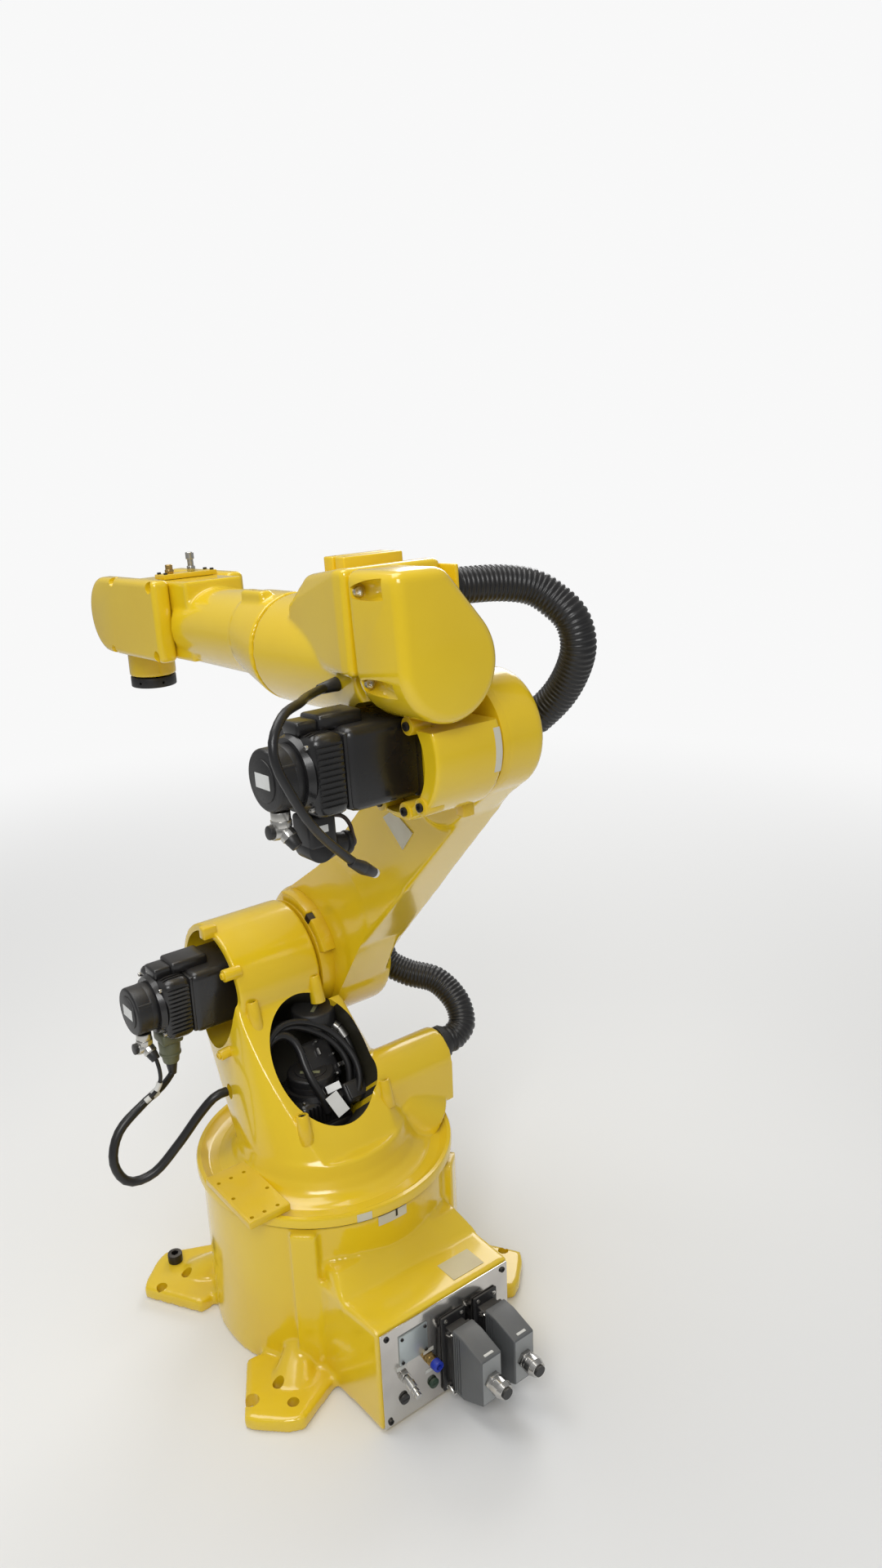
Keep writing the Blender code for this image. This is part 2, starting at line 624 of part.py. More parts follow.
def square_motor(name, parent, centre, end):
    """A servo motor along Y with a ridge box on top and its round encoder cap at the end."""
    x, z = centre
    half = MOTOR_BODY / 2
    face = end - MOTOR_CAP_LENGTH - SEAT - MOTOR_LENGTH
    shoulder = face + MOTOR_LENGTH
    body = piece(block((x - half, face, z - half), (x + half, shoulder, z + half)),
                 f"{name}_motor", parent, BLACK)
    bevel = body.modifiers.new("Corners", "BEVEL")
    bevel.width = MOTOR_CORNER
    bevel.segments = 2
    wide, high, long = MOTOR_RIDGE
    join(body, block((x - wide / 2, shoulder - long, z + half - SINK),
                     (x + wide / 2, shoulder - SINK, z + half + high)))
    piece(rod((x, shoulder + SEAT, z), (x, end, z), MOTOR_CAP_RADIUS, sides=MIDDLE_ROUND),
          f"{name}_motor_cap", parent, BLACK)
    return body


def motor_leads():
    """The plugs under both motors and the leads that loop from them."""
    j2_centre, j3_centre = (J2_REACH, J2_HEIGHT), J3_MOTOR_SHIFT
    for name, parent, (x, z), end, motor_plug, encoder_plug, finishes in (
            ("j2", J1, j2_centre, J2_CAP_END, J2_MOTOR_PLUG, J2_ENCODER_PLUG, (OLIVE, BLACK)),
            ("j3", J3, j3_centre, J3_CAP_END, J3_MOTOR_PLUG, J3_ENCODER_PLUG, (BLACK, STEEL))):
        shoulder = end - MOTOR_CAP_LENGTH - SEAT
        (near, far), drop = motor_plug
        piece(block((x - MOTOR_PLUG_HALF_WIDTH, shoulder + near, z - drop),
                    (x + MOTOR_PLUG_HALF_WIDTH, shoulder + far, z - MOTOR_BODY / 2 - SEAT)),
              f"{name}_motor_plug", parent, finishes[0])
        low, high, drop = encoder_plug
        piece(block((x + low[0], shoulder + low[1], z - drop),
                    (x + high[0], shoulder + high[1], z - MOTOR_CAP_RADIUS - ENCODER_PLUG_GAP)),
              f"{name}_encoder_plug", parent, finishes[1])
    tube("j2_motor_lead", J1, J2_LEAD, LEAD_RADIUS, LEAD_POINTS, RUBBER)
    tube("j3_motor_lead", J3, J3_LEAD, LEAD_RADIUS, LEAD_POINTS, RUBBER)


def conduit_hoses():
    """The two corrugated hoses on the arm's far side, with the fittings at their ends."""
    x, y, z = LOWER_HOSE[0]
    piece(rod((x, HOSE_BOX_LOW[1] - SEAT, z), (x, y + SEAT, z), NOZZLE_RADIUS,
              sides=MIDDLE_ROUND), "lower_hose_nozzle", J1, BLACK)
    tube("lower_conduit_hose", J1, LOWER_HOSE, HOSE_RADIUS, HOSE_POINTS, RUBBER)
    piece(block(LOWER_CLAMP_LOW, LOWER_CLAMP_HIGH), "lower_hose_clamp", J2, YELLOW)
    tube("upper_conduit_hose", J3, UPPER_HOSE, HOSE_RADIUS, HOSE_POINTS, RUBBER)
    x, z = UPPER_CLAMP_AT
    piece(rod((x, UPPER_CLAMP_SEAT, z), (x, UPPER_CLAMP_SEAT - UPPER_CLAMP_DEPTH, z),
              NOZZLE_RADIUS, sides=MIDDLE_ROUND), "upper_hose_clamp", J2, BLACK)


def lower_arm():
    """The long arm between the second and third axes, with a hub at each end."""
    low, high = ARM_FOOT_RADIUS, ARM_HEAD_RADIUS
    beam = hull(rod((0, ARM_FAR, 0), (0, ARM_NEAR, 0), ARM_WAIST_LOW),
                rod((0, ARM_FAR_TOP, LOWER_ARM_LENGTH), (0, ARM_NEAR, LOWER_ARM_LENGTH),
                    ARM_WAIST_HIGH))
    casting = piece(beam, "lower_arm_casting", J2, YELLOW)
    join(casting, rod((0, ARM_FAR - PROUD, 0), (0, ARM_NEAR + PROUD, 0), low))
    join(casting, rod((0, ARM_FAR_TOP - PROUD, LOWER_ARM_LENGTH),
                      (0, ARM_NEAR + PROUD, LOWER_ARM_LENGTH), high))
    join(casting, rod((0, ARM_NEAR - SINK, 0), (0, HEAD_ARM_SIDE - RUNNING_GAP, 0), HUB_RADIUS))
    join(casting, rod((0, ARM_NEAR - SINK, 0), (0, HEAD_ARM_SIDE - SEAT, 0), HUB_RADIUS / 2))
    join(casting, rod((0, ARM_NEAR - SINK, LOWER_ARM_LENGTH),
                      (0, ELBOW_ARM_SIDE - RUNNING_GAP, LOWER_ARM_LENGTH), high))
    join(casting, rod((0, ARM_NEAR - SINK, LOWER_ARM_LENGTH),
                      (0, ELBOW_ARM_SIDE - SEAT, LOWER_ARM_LENGTH), high / 2))


def elbow():
    """The casing that turns on the third axis and carries the forearm."""
    barrel = rod((0, ELBOW_ARM_SIDE, 0), (0, ELBOW_MOTOR_SIDE, 0), ELBOW_RADIUS)
    casting = piece(barrel, "elbow_casting", J3, YELLOW)
    housing = ELBOW_RISE - HOUSING_DROP
    join(casting, rod((HOUSING_BACK, 0, housing), (J4_SEAM, 0, housing), HOUSING_RADIUS))
    crest = block((COVER_SEAM, COVER_RIGHT, CASING_LOW),
                  (COVER_SEAM + COVER_CREST_DEPTH, COVER_LEFT, COVER_TOP))
    join(casting, soften(hull(crest, block(*CASING_SHOULDER), block(*CASING_NOSE)), CASING_EDGE))
    for low, high in TOP_PADS:
        join(casting, block((low, TOP_PAD_SIDES[0], TOP_PAD_FOOT),
                            (high, TOP_PAD_SIDES[1], TOP_PAD_TOP)))
    cut(casting, block((-CLEAR, -CLEAR, COVER_BOTTOM), (COVER_SEAM, CLEAR, CLEAR)))
    front = COVER_SEAM - SEAT
    rear = front - COVER_DEPTH
    cover = hull(rod((front, COVER_ROUND_Y, ELBOW_RISE), (rear, COVER_ROUND_Y, ELBOW_RISE),
                     COVER_ROUND),
                 block((rear, COVER_ROUND_Y, COVER_CREST_LOW), (front, COVER_LEFT, COVER_TOP)))
    rear_cover = piece(soften(cover, COVER_EDGE, rear + MERGE), "rear_cover", J3, YELLOW)
    for solid in (casting, rear_cover):
        cut(solid, rod((0, -CLEAR, 0), (0, ELBOW_ARM_SIDE, 0), ARM_HEAD_RADIUS + RUNNING_GAP))
    x, z = J3_MOTOR_SHIFT
    floor = ELBOW_MOTOR_SIDE - ELBOW_BORE_DEPTH
    cut(casting, rod((x / 3, floor, z), (x / 3, ELBOW_MOTOR_SIDE + SINK, z), ELBOW_BORE))
    half = MOTOR_BODY / 2 + RUNNING_GAP
    cut(casting, block((x - half, floor, z - half),
                       (x + half, ELBOW_MOTOR_SIDE + MOTOR_LENGTH, z + half)))


def forearm():
    """The tube on the fourth axis and the fork that carries the wrist."""
    start = J4_SEAM + RUNNING_GAP
    tube_piece = piece(turned(((start, TUBE_RADIUS), (TUBE_END, TUBE_END_RADIUS)), (0, 0, 0),
                              (1, 0, 0)), "forearm_tube", J4, YELLOW)
    join(tube_piece, hull(rod((start, 0, -HOUSING_DROP), (start + SINK, 0, -HOUSING_DROP),
                              HOUSING_RADIUS), rod((start, 0, 0), (BELLY_END, 0, 0), TUBE_RADIUS)))
    join(tube_piece, rod((J4_SEAM + SEAT, 0, 0), (start + SINK, 0, 0), TUBE_RADIUS / 2))
    join(tube_piece, block(LUG_LOW, LUG_HIGH))
    inner = WRIST_HALF_WIDTH - WRIST_COVER_THICKNESS
    x, z, radius = WRIST_NOSE
    trim = WRIST_TRIM
    join(tube_piece, hull(rod((x, -inner, z), (x, inner, z), radius - trim),
                          block((WRIST_BACK, -inner, WRIST_BOTTOM + trim),
                                (WRIST_COVER_BACK, inner, WRIST_TOP - trim))))
    cut(tube_piece, block((WRIST_SLOT_BACK, -WRIST_SLOT, -CLEAR),
                          (FOREARM_LENGTH + CLEAR, WRIST_SLOT, CLEAR)))
    piece(block(FITTINGS_PLATE_LOW, FITTINGS_PLATE_HIGH), "fittings_plate", J4, YELLOW)
    foot = FITTINGS_PLATE_HIGH[2] + SEAT
    for name, (y, width, reach), material in (("short_fitting", SHORT_FITTING, BRASS),
                                              ("tall_fitting", TALL_FITTING, STEEL)):
        piece(rod((FITTINGS_X, y, foot), (FITTINGS_X, y, foot + reach), width, sides=SMALL_ROUND),
              name, J4, material)
    for side, sign in (("left", 1), ("right", -1)):
        near, far = sorted((sign * (inner + SEAT), sign * WRIST_HALF_WIDTH))
        cover = hull(rod((x, near, z), (x, far, z), radius),
                     block((WRIST_COVER_BACK, near, WRIST_BOTTOM),
                           (WRIST_COVER_BACK + WRIST_COVER_EDGE, far, WRIST_TOP)))
        piece(soften(cover, WRIST_COVER_ROUND), f"wrist_cover_{side}", J4, YELLOW)


def wrist():
    """The wrist block on the fifth axis and the tool flange on the sixth."""
    reach = WRIST_SLOT - RUNNING_GAP
    housing = piece(rod((0, -reach, 0), (0, reach, 0), WRIST_BARREL), "wrist_housing", J5, YELLOW)
    end = WRIST_TO_FLANGE - FLANGE_THICKNESS
    join(housing, rod((0, 0, 0), (end - FLANGE_GAP, 0, 0), FLANGE_RADIUS + PROUD))
    join(housing, rod((0, -WRIST_SLOT + SEAT, 0), (0, WRIST_SLOT - SEAT, 0), WRIST_PIN,
                      sides=MIDDLE_ROUND))
    join(housing, rod((WRIST_BARREL, 0, 0), (end - SEAT, 0, 0), WRIST_PIN, sides=MIDDLE_ROUND))
    piece(rod((-FLANGE_THICKNESS, 0, 0), (0, 0, 0), FLANGE_RADIUS), "tool_flange", J6, BLACK)


base_casting()
connector_panel()
anchor_bolt()
turret_casting()
turret_fittings()
square_motor("j2", J1, (J2_REACH, J2_HEIGHT), J2_CAP_END)
lower_arm()
elbow()
square_motor("j3", J3, J3_MOTOR_SHIFT, J3_CAP_END)
motor_leads()
conduit_hoses()
forearm()
wrist()
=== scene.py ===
"""The robot arm dressed for its photograph: a yellow floor-mounted arm with six axes."""

import math

import bpy
from mathutils import Matrix, Vector


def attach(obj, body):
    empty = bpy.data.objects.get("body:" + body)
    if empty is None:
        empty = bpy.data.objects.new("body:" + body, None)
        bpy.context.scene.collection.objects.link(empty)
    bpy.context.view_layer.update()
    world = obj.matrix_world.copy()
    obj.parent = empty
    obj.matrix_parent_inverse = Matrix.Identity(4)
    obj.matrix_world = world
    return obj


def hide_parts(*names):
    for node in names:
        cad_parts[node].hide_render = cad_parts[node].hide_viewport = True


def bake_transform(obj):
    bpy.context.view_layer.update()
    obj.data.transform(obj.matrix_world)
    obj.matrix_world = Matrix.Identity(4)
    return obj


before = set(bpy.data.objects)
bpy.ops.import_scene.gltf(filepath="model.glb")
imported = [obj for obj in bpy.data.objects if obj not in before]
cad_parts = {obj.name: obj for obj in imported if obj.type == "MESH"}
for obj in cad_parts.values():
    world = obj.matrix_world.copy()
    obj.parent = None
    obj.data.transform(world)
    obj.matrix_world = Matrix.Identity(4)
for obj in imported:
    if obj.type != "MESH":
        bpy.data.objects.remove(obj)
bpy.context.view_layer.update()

# Camera and studio
# The camera stands behind the arm on its motor side and looks slightly down on it. The pale
# floor and the soft lamps stand in for a plain studio.
def shader_node(tree, kind, inputs=(), **settings):
    """Add a node with these settings, each input linked to a socket or given a value."""
    node = tree.nodes.new("ShaderNode" + kind)
    for name, value in settings.items():
        setattr(node, name, value)
    for name, value in dict(inputs).items():
        if isinstance(value, bpy.types.NodeSocket):
            tree.links.new(value, node.inputs[name])
        else:
            node.inputs[name].default_value = value
    return node


def set_inputs(node, **values):
    """Give a node's inputs these values."""
    for name, value in values.items():
        node.inputs[name.replace("_", " ")].default_value = value


BACKDROP = 0.94
ROOM_LIGHT = 0.35
CAMERA_AT = (-1.4116, 0.8172, 1.3991)
LOOKS_ALONG = Vector((0.7558, -0.58, -0.304)).normalized()
CAMERA_ROLL = math.radians(-2.1)
level_right = LOOKS_ALONG.cross(Vector((0, 0, 1))).normalized()
level_up = level_right.cross(LOOKS_ALONG)
right = level_right * math.cos(CAMERA_ROLL) + level_up * math.sin(CAMERA_ROLL)
up = level_up * math.cos(CAMERA_ROLL) - level_right * math.sin(CAMERA_ROLL)
bpy.ops.object.camera_add(location=CAMERA_AT)
camera = bpy.context.object
camera.name = "photo_camera"
camera.data.lens = 26.36
camera.data.sensor_width = 36.0
camera.data.clip_start = 0.05
camera.rotation_euler = Matrix((right, up, -LOOKS_ALONG)).transposed().to_euler()
bpy.context.scene.camera = camera
bpy.context.scene.view_settings.view_transform = "Standard"

bpy.ops.mesh.primitive_plane_add(size=30.0, location=(0.0, 0.0, 0.0))
floor = bpy.context.object
floor.name = "studio_floor"
floor_paint = bpy.data.materials.new("studio_floor")
floor_paint.use_nodes = True
sight = floor_paint.node_tree
floor_shader = sight.nodes["Principled BSDF"]
set_inputs(floor_shader, Base_Color=(0.8, 0.8, 0.79, 1.0), Roughness=0.75, Specular_IOR_Level=0.2)
where = shader_node(sight, "TexCoord")
away = shader_node(sight, "VectorMath", {0: where.outputs["Object"]}, operation="LENGTH")
fade = shader_node(sight, "MapRange", {"From Min": 1.2, "From Max": 3.6, "Value": away.outputs["Value"]},
                   interpolation_type="SMOOTHSTEP")
ray = shader_node(sight, "LightPath")
fading = shader_node(sight, "Math", {0: fade.outputs[0], 1: ray.outputs["Is Camera Ray"]},
                     operation="MULTIPLY")
glow = shader_node(sight, "Emission", {"Color": (BACKDROP, BACKDROP, BACKDROP, 1.0)})
mix = shader_node(sight, "MixShader",
                  {0: fading.outputs[0], 1: floor_shader.outputs[0], 2: glow.outputs[0]})
sight.links.new(mix.outputs[0], sight.nodes["Material Output"].inputs["Surface"])
floor.data.materials.append(floor_paint)

for name, place, size, power in (
        ("key_softbox", (-2.3, 1.9, 3.1), 1.5, 60.0),
        ("ceiling_softbox", (0.6, 0.4, 3.6), 2.2, 52.0),
        ("rear_softbox", (1.9, -2.4, 2.4), 1.6, 34.0)):
    bpy.ops.object.light_add(type="AREA", location=place)
    lamp = bpy.context.object
    lamp.name = name
    lamp.data.size = size
    lamp.data.energy = power
    lamp.rotation_euler = (Vector((-0.05, 0.0, 0.65)) - Vector(place)).to_track_quat("-Z", "Y").to_euler()

room = bpy.data.worlds.new("studio_room")
bpy.context.scene.world = room
room.use_nodes = True
seen_as = shader_node(room.node_tree, "LightPath").outputs
shows = shader_node(room.node_tree, "Math", operation="MAXIMUM",
                    inputs={0: seen_as["Is Camera Ray"], 1: seen_as["Is Transmission Ray"]})
strength = shader_node(room.node_tree, "MapRange",
                       {"To Min": ROOM_LIGHT, "To Max": BACKDROP, "Value": shows.outputs[0]})
background = room.node_tree.nodes["Background"]
set_inputs(background, Color=(1.0, 1.0, 1.0, 1.0))
room.node_tree.links.new(strength.outputs[0], background.inputs["Strength"])


# Conduit hoses
# Two corrugated black plastic hoses carry the leads past the second and third axes. Each is
# pushed onto a fitting at both ends and bends freely between them.
def deselect():
    """Leave nothing selected."""
    bpy.ops.object.select_all(action="DESELECT")


def pick(*objects):
    """Select these objects only, with the first one active."""
    deselect()
    for obj in objects:
        obj.select_set(True)
    bpy.context.view_layer.objects.active = objects[0]


def applied(obj, kind, **settings):
    """Add a modifier with these settings and apply it."""
    modifier = obj.modifiers.new(kind.title(), kind)
    for name, value in settings.items():
        setattr(modifier, name, value)
    pick(obj)
    bpy.ops.object.modifier_apply(modifier=modifier.name)
    return obj


def edited(obj, *steps):
    """Run these steps on the whole of a mesh in edit mode, then turn its faces outwards."""
    pick(obj)
    bpy.ops.object.mode_set(mode="EDIT")
    for step, settings in (*steps, (bpy.ops.mesh.normals_make_consistent, {"inside": False})):
        bpy.ops.mesh.select_all(action="SELECT")
        step(**settings)
    bpy.ops.object.mode_set(mode="OBJECT")
    return obj


def turned(degrees, axis):
    """Give the turn by this angle about an axis."""
    return Matrix.Rotation(math.radians(degrees), 4, axis)


def smooth_route(points, count):
    """Read evenly spread points from a smooth curve through a route's own points."""
    knots = [Vector(p) for p in points]
    ends = [knots[0] * 2 - knots[1], *knots, knots[-1] * 2 - knots[-2]]
    fine = []
    for a, b, c, d in zip(ends, ends[1:], ends[2:], ends[3:]):
        for step in range(24):
            t = step / 24
            fine.append(0.5 * (2 * b + (c - a) * t + (2 * a - 5 * b + 4 * c - d) * t ** 2
                               + (3 * b - a - 3 * c + d) * t ** 3))
    fine.append(knots[-1])
    reach = [0.0]
    for low, high in zip(fine, fine[1:]):
        reach.append(reach[-1] + (high - low).length)
    spread, index = [], 0
    for number in range(count):
        wanted = reach[-1] * number / (count - 1)
        while index < len(reach) - 2 and reach[index + 1] < wanted:
            index += 1
        share = (wanted - reach[index]) / (reach[index + 1] - reach[index])
        spread.append(fine[index].lerp(fine[index + 1], share))
    return spread


def route_length(points):
    """Measure a route along its points."""
    return sum((b - a).length for a, b in zip(points, points[1:]))


def swept(points, radii, resolution=6):
    """Sweep a round section along points, each with its own radius, and make it a mesh."""
    deselect()
    line = bpy.data.curves.new("swept_line", "CURVE")
    line.dimensions = "3D"
    line.bevel_depth = 1.0
    line.bevel_resolution = resolution
    line.use_fill_caps = True
    spline = line.splines.new("POLY")
    spline.points.add(len(points) - 1)
    for knot, point, radius in zip(spline.points, points, radii):
        knot.co = (*point, 1.0)
        knot.radius = radius
    obj = bpy.data.objects.new("swept_line", line)
    bpy.context.scene.collection.objects.link(obj)
    pick(obj)
    bpy.ops.object.convert(target="MESH")
    return edited(bpy.context.object, (bpy.ops.mesh.remove_doubles, {"threshold": 0.00002}))


def cable(points, radius, resolution=6):
    """Sweep a round section of one size along points."""
    return swept(points, [radius] * len(points), resolution)


def grain_group():
    """A group that varies a colour and roughness over a surface and gives it a fine bump."""
    group = bpy.data.node_groups.new("surface_grain", "ShaderNodeTree")
    for name, kind, low, high, value in (
            ("Colour", "NodeSocketColor", None, None, (0.5, 0.5, 0.5, 1.0)),
            ("Worn Colour", "NodeSocketColor", None, None, (0.4, 0.4, 0.4, 1.0)),
            ("Dust Colour", "NodeSocketColor", None, None, (0.55, 0.5, 0.42, 1.0)),
            ("Variation", "NodeSocketFloat", 0.0, 1.0, 0.5),
            ("Dust", "NodeSocketFloat", 0.0, 1.0, 0.1),
            ("Patch Scale", "NodeSocketFloat", 0.0, 100.0, 6.0),
            ("Grain Scale", "NodeSocketFloat", 0.0, 2000.0, 300.0),
            ("Roughness", "NodeSocketFloat", 0.0, 1.0, 0.3),
            ("Roughness Spread", "NodeSocketFloat", 0.0, 1.0, 0.1),
            ("Bump", "NodeSocketFloat", 0.0, 1.0, 0.1),
            ("Wave", "NodeSocketFloat", 0.0, 1.0, 0.1)):
        socket = group.interface.new_socket(name, in_out="INPUT", socket_type=kind)
        socket.default_value = value
        if low is not None:
            socket.min_value, socket.max_value = low, high
    for name, kind in (("Colour", "NodeSocketColor"), ("Roughness", "NodeSocketFloat"),
                       ("Normal", "NodeSocketVector")):
        group.interface.new_socket(name, in_out="OUTPUT", socket_type=kind)
    new, link = group.nodes.new, group.links.new
    given, out = new("NodeGroupInput"), new("NodeGroupOutput")
    place = shader_node(group, "TexCoord")

    def noise(scale, detail):
        parts = {"Detail": detail, "Scale": scale, "Vector": place.outputs["Object"]}
        return shader_node(group, "TexNoise", parts).outputs["Fac"]

    def figure(operation, a, b):
        return shader_node(group, "Math", {0: a, 1: b}, operation=operation).outputs[0]

    def mixed(share, a, b):
        return shader_node(group, "Mix", {0: share, 6: a, 7: b}, data_type="RGBA").outputs[2]

    patches = noise(given.outputs["Patch Scale"], 4.0)
    spread = shader_node(group, "MapRange", {"From Min": 0.4, "From Max": 0.68, "Value": patches})
    worn = mixed(figure("MULTIPLY", spread.outputs[0], given.outputs["Variation"]),
                 given.outputs["Colour"], given.outputs["Worn Colour"])
    face = shader_node(group, "NewGeometry")
    split = shader_node(group, "SeparateXYZ", {0: face.outputs["Normal"]})
    upward = figure("POWER", figure("MAXIMUM", split.outputs["Z"], 0.0), 3.0)
    lying = figure("MULTIPLY", upward, noise(24.0, 6.0))
    dusted = mixed(figure("MULTIPLY", lying, given.outputs["Dust"]), worn,
                   given.outputs["Dust Colour"])
    link(dusted, out.inputs["Colour"])
    grain = noise(given.outputs["Grain Scale"], 2.0)
    swing = figure("MULTIPLY", figure("SUBTRACT", patches, 0.5), given.outputs["Roughness Spread"])
    rough = figure("ADD", given.outputs["Roughness"], swing)
    rough = figure("ADD", rough, figure("MULTIPLY", figure("MULTIPLY", upward, 0.25),
                                        given.outputs["Dust"]))
    link(rough, out.inputs["Roughness"])
    height = figure("ADD", figure("MULTIPLY", grain, given.outputs["Bump"]),
                    figure("MULTIPLY", noise(22.0, 1.0), given.outputs["Wave"]))
    bump = shader_node(group, "Bump", {"Strength": 0.6, "Distance": 0.001, "Height": height})
    link(bump.outputs["Normal"], out.inputs["Normal"])
    return group


SURFACE_GRAIN = grain_group()


def finish_of(name, colour, worn, roughness, metallic=0.0, coat=0.0, slot=None, **grain):
    """Make a material whose colour, roughness and fine bump come from the surface group."""
    made = bpy.data.materials.new(name)
    made.use_nodes = True
    tree = made.node_tree
    shader = tree.nodes["Principled BSDF"]
    inputs = {"Colour": (*colour, 1.0), "Worn Colour": (*worn, 1.0), "Roughness": roughness}
    inputs.update({socket.replace("_", " ").title(): value for socket, value in grain.items()})
    group = shader_node(tree, "Group", inputs, node_tree=SURFACE_GRAIN)
    for made_here, used_as in (("Colour", "Base Color"), ("Roughness", "Roughness"), ("Normal", "Normal")):
        tree.links.new(group.outputs[made_here], shader.inputs[used_as])
    set_inputs(shader, Metallic=metallic, Coat_Weight=coat, Coat_Roughness=0.08)
    return made


def made_piece(obj, name, body, material, node=None, slot=None, angle=35.0):
    """Name a finished piece, give it its finish and let it ride on its body."""
    obj.name = name
    obj.data.name = name
    obj.data.materials.clear()
    obj.data.materials.append(material)
    pick(obj)
    bpy.ops.object.shade_smooth_by_angle(angle=math.radians(angle))
    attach(obj, body)
    if node:
        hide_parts(node)
    return obj


RUBBER = finish_of("black_hose_rubber", (0.01, 0.01, 0.011), (0.018, 0.017, 0.017), 0.34,
                   variation=0.6, dust=0.06, patch_scale=14.0, grain_scale=420.0, bump=0.12,
                   slot="black_rubber")

# The joints' own frames, from the lengths of the links and the angles of the photographed pose.
AXIS_X, AXIS_Z = 0.16, 0.535
REACH, RISE, TUBE, NOSE = 0.665, 0.116, 0.775, 0.12
LEAN, BEND, DROOP = -44.4, 47.2, 87.2
J2 = Matrix.Translation((AXIS_X, 0.0, AXIS_Z)) @ turned(LEAN, "Y")
J3 = J2 @ Matrix.Translation((0.0, 0.0, REACH)) @ turned(BEND, "Y")
J4 = J3 @ Matrix.Translation((0.0, 0.0, RISE))
J5 = J4 @ Matrix.Translation((TUBE, 0.0, 0.0)) @ turned(DROOP, "Y")
J6 = J5 @ Matrix.Translation((NOSE, 0.0, 0.0))

HOSE_RADIUS = 0.0235
HOSE_PITCH = 0.0066
LOWER_HOSE = ((-0.028, -0.2286, 0.385), (-0.028, -0.24, 0.385), (-0.028, -0.252, 0.386),
              (-0.024, -0.274, 0.402), (-0.002, -0.28, 0.434), (0.037, -0.268, 0.462),
              (0.076, -0.238, 0.472), (0.105, -0.217, 0.4868), (0.12, -0.215, 0.5015),
              (0.1349, -0.215, 0.5161))
UPPER_HOSE = ((0.0, -0.0526, 0.19), (0.0, -0.065, 0.19), (-0.001, -0.078, 0.19),
              (-0.014, -0.13, 0.188), (-0.032, -0.168, 0.18), (-0.052, -0.188, 0.162),
              (-0.072, -0.2, 0.137), (-0.076, -0.206, 0.104), (-0.062, -0.208, 0.07),
              (-0.036, -0.205, 0.034), (-0.002, -0.193, 0.001), (0.0, -0.184, 0.0),
              (0.0, -0.174, 0.0))


def corrugated_hose(name, knots, node):
    """Make a hose with a ring every few millimetres along a route between two bodies."""
    middle = smooth_route(knots, 40)
    whole = route_length(middle)
    rings = round(whole / HOSE_PITCH)
    dense = smooth_route(knots, 4 * rings + 1)
    wave = (0.9, 0.985, 1.0, 0.985)
    radii = [HOSE_RADIUS * wave[number % 4] for number in range(len(dense))]
    hose = swept(dense, radii)
    hose.name = name
    hose.data.materials.append(RUBBER)
    pick(hose)
    bpy.ops.object.shade_smooth()
    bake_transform(hose)
    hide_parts(node)
    return hose, middle, whole


corrugated_hose("lower_corrugated_hose", LOWER_HOSE, "lower_conduit_hose")
upper_knots = [J3 @ Vector(knot) for knot in UPPER_HOSE]
upper_hose, upper_middle, upper_whole = corrugated_hose(
    "upper_corrugated_hose", upper_knots, "upper_conduit_hose")


# Base casting
# The fixed foot of the robot is one iron casting under glossy yellow paint: a round drum on four
# bolted feet, upright posts and a box at the rear for the connectors.
def box_piece(low, high):
    """Add a box between two corners."""
    deselect()
    middle = (Vector(low) + Vector(high)) / 2
    bpy.ops.mesh.primitive_cube_add(size=1.0, location=middle, scale=Vector(high) - Vector(low))
    bpy.ops.object.transform_apply(location=True, rotation=True, scale=True)
    return bpy.context.object


def round_piece(start, end, radius, end_radius=None, sides=48):
    """Add a closed cylinder or cone from one point to another."""
    deselect()
    start, end = Vector(start), Vector(end)
    turn = (end - start).to_track_quat("Z", "X").to_euler()
    bpy.ops.mesh.primitive_cone_add(
        vertices=sides, radius1=radius, radius2=radius if end_radius is None else end_radius,
        depth=(end - start).length, location=(start + end) / 2, rotation=turn)
    bpy.ops.object.transform_apply(location=True, rotation=True, scale=True)
    return bpy.context.object


def rod(axis, low, high, radius, end_radius=None, at=(0, 0), sides=48):
    """Add a round shape along one axis, at this place on the other two."""
    start, end = list(at), list(at)
    start.insert("XYZ".index(axis), low)
    end.insert("XYZ".index(axis), high)
    return round_piece(start, end, radius, end_radius, sides)


def flat_piece(outline, low, high):
    """Add a plate with this outline in X and Y between two heights."""
    mesh = bpy.data.meshes.new("plate")
    mesh.from_pydata([(x, y, low) for x, y in outline], [], [range(len(outline))])
    obj = bpy.data.objects.new("plate", mesh)
    bpy.context.scene.collection.objects.link(obj)
    rise = {"TRANSFORM_OT_translate": {"value": (0, 0, high - low)}}
    return edited(obj, (bpy.ops.mesh.extrude_region_move, rise))


def joined(first, *others):
    """Make several meshes one."""
    pick(first, *others)
    if others:
        bpy.ops.object.join()
    return bpy.context.object


def wrapped(*shapes):
    """Stretch one skin round several shapes."""
    return edited(joined(*shapes), (bpy.ops.mesh.convex_hull, {"join_triangles": True}),
                  (bpy.ops.mesh.dissolve_limited, {"angle_limit": math.radians(0.5)}))


def carved(obj, *cutters):
    """Cut shapes away from a piece."""
    for cutter in cutters:
        applied(obj, "BOOLEAN", operation="DIFFERENCE", solver="EXACT", object=cutter)
        bpy.data.objects.remove(cutter)
    return obj


def rounded(obj, width, segments=2, angle=30.0):
    """Round a piece's edges."""
    return applied(obj, "BEVEL", width=width, segments=segments, limit_method="ANGLE",
                   angle_limit=math.radians(angle), use_clamp_overlap=True)


def soft_box(low, high, width, segments=2):
    """Add a box with rounded edges between two corners."""
    return rounded(box_piece(low, high), width, segments)


def cast_skin(obj, grain, passes):
    """Melt overlapping shapes into one skin with the soft corners of a sand casting."""
    applied(obj, "REMESH", mode="VOXEL", voxel_size=grain)
    applied(obj, "SMOOTH", factor=0.5, iterations=passes)
    return obj


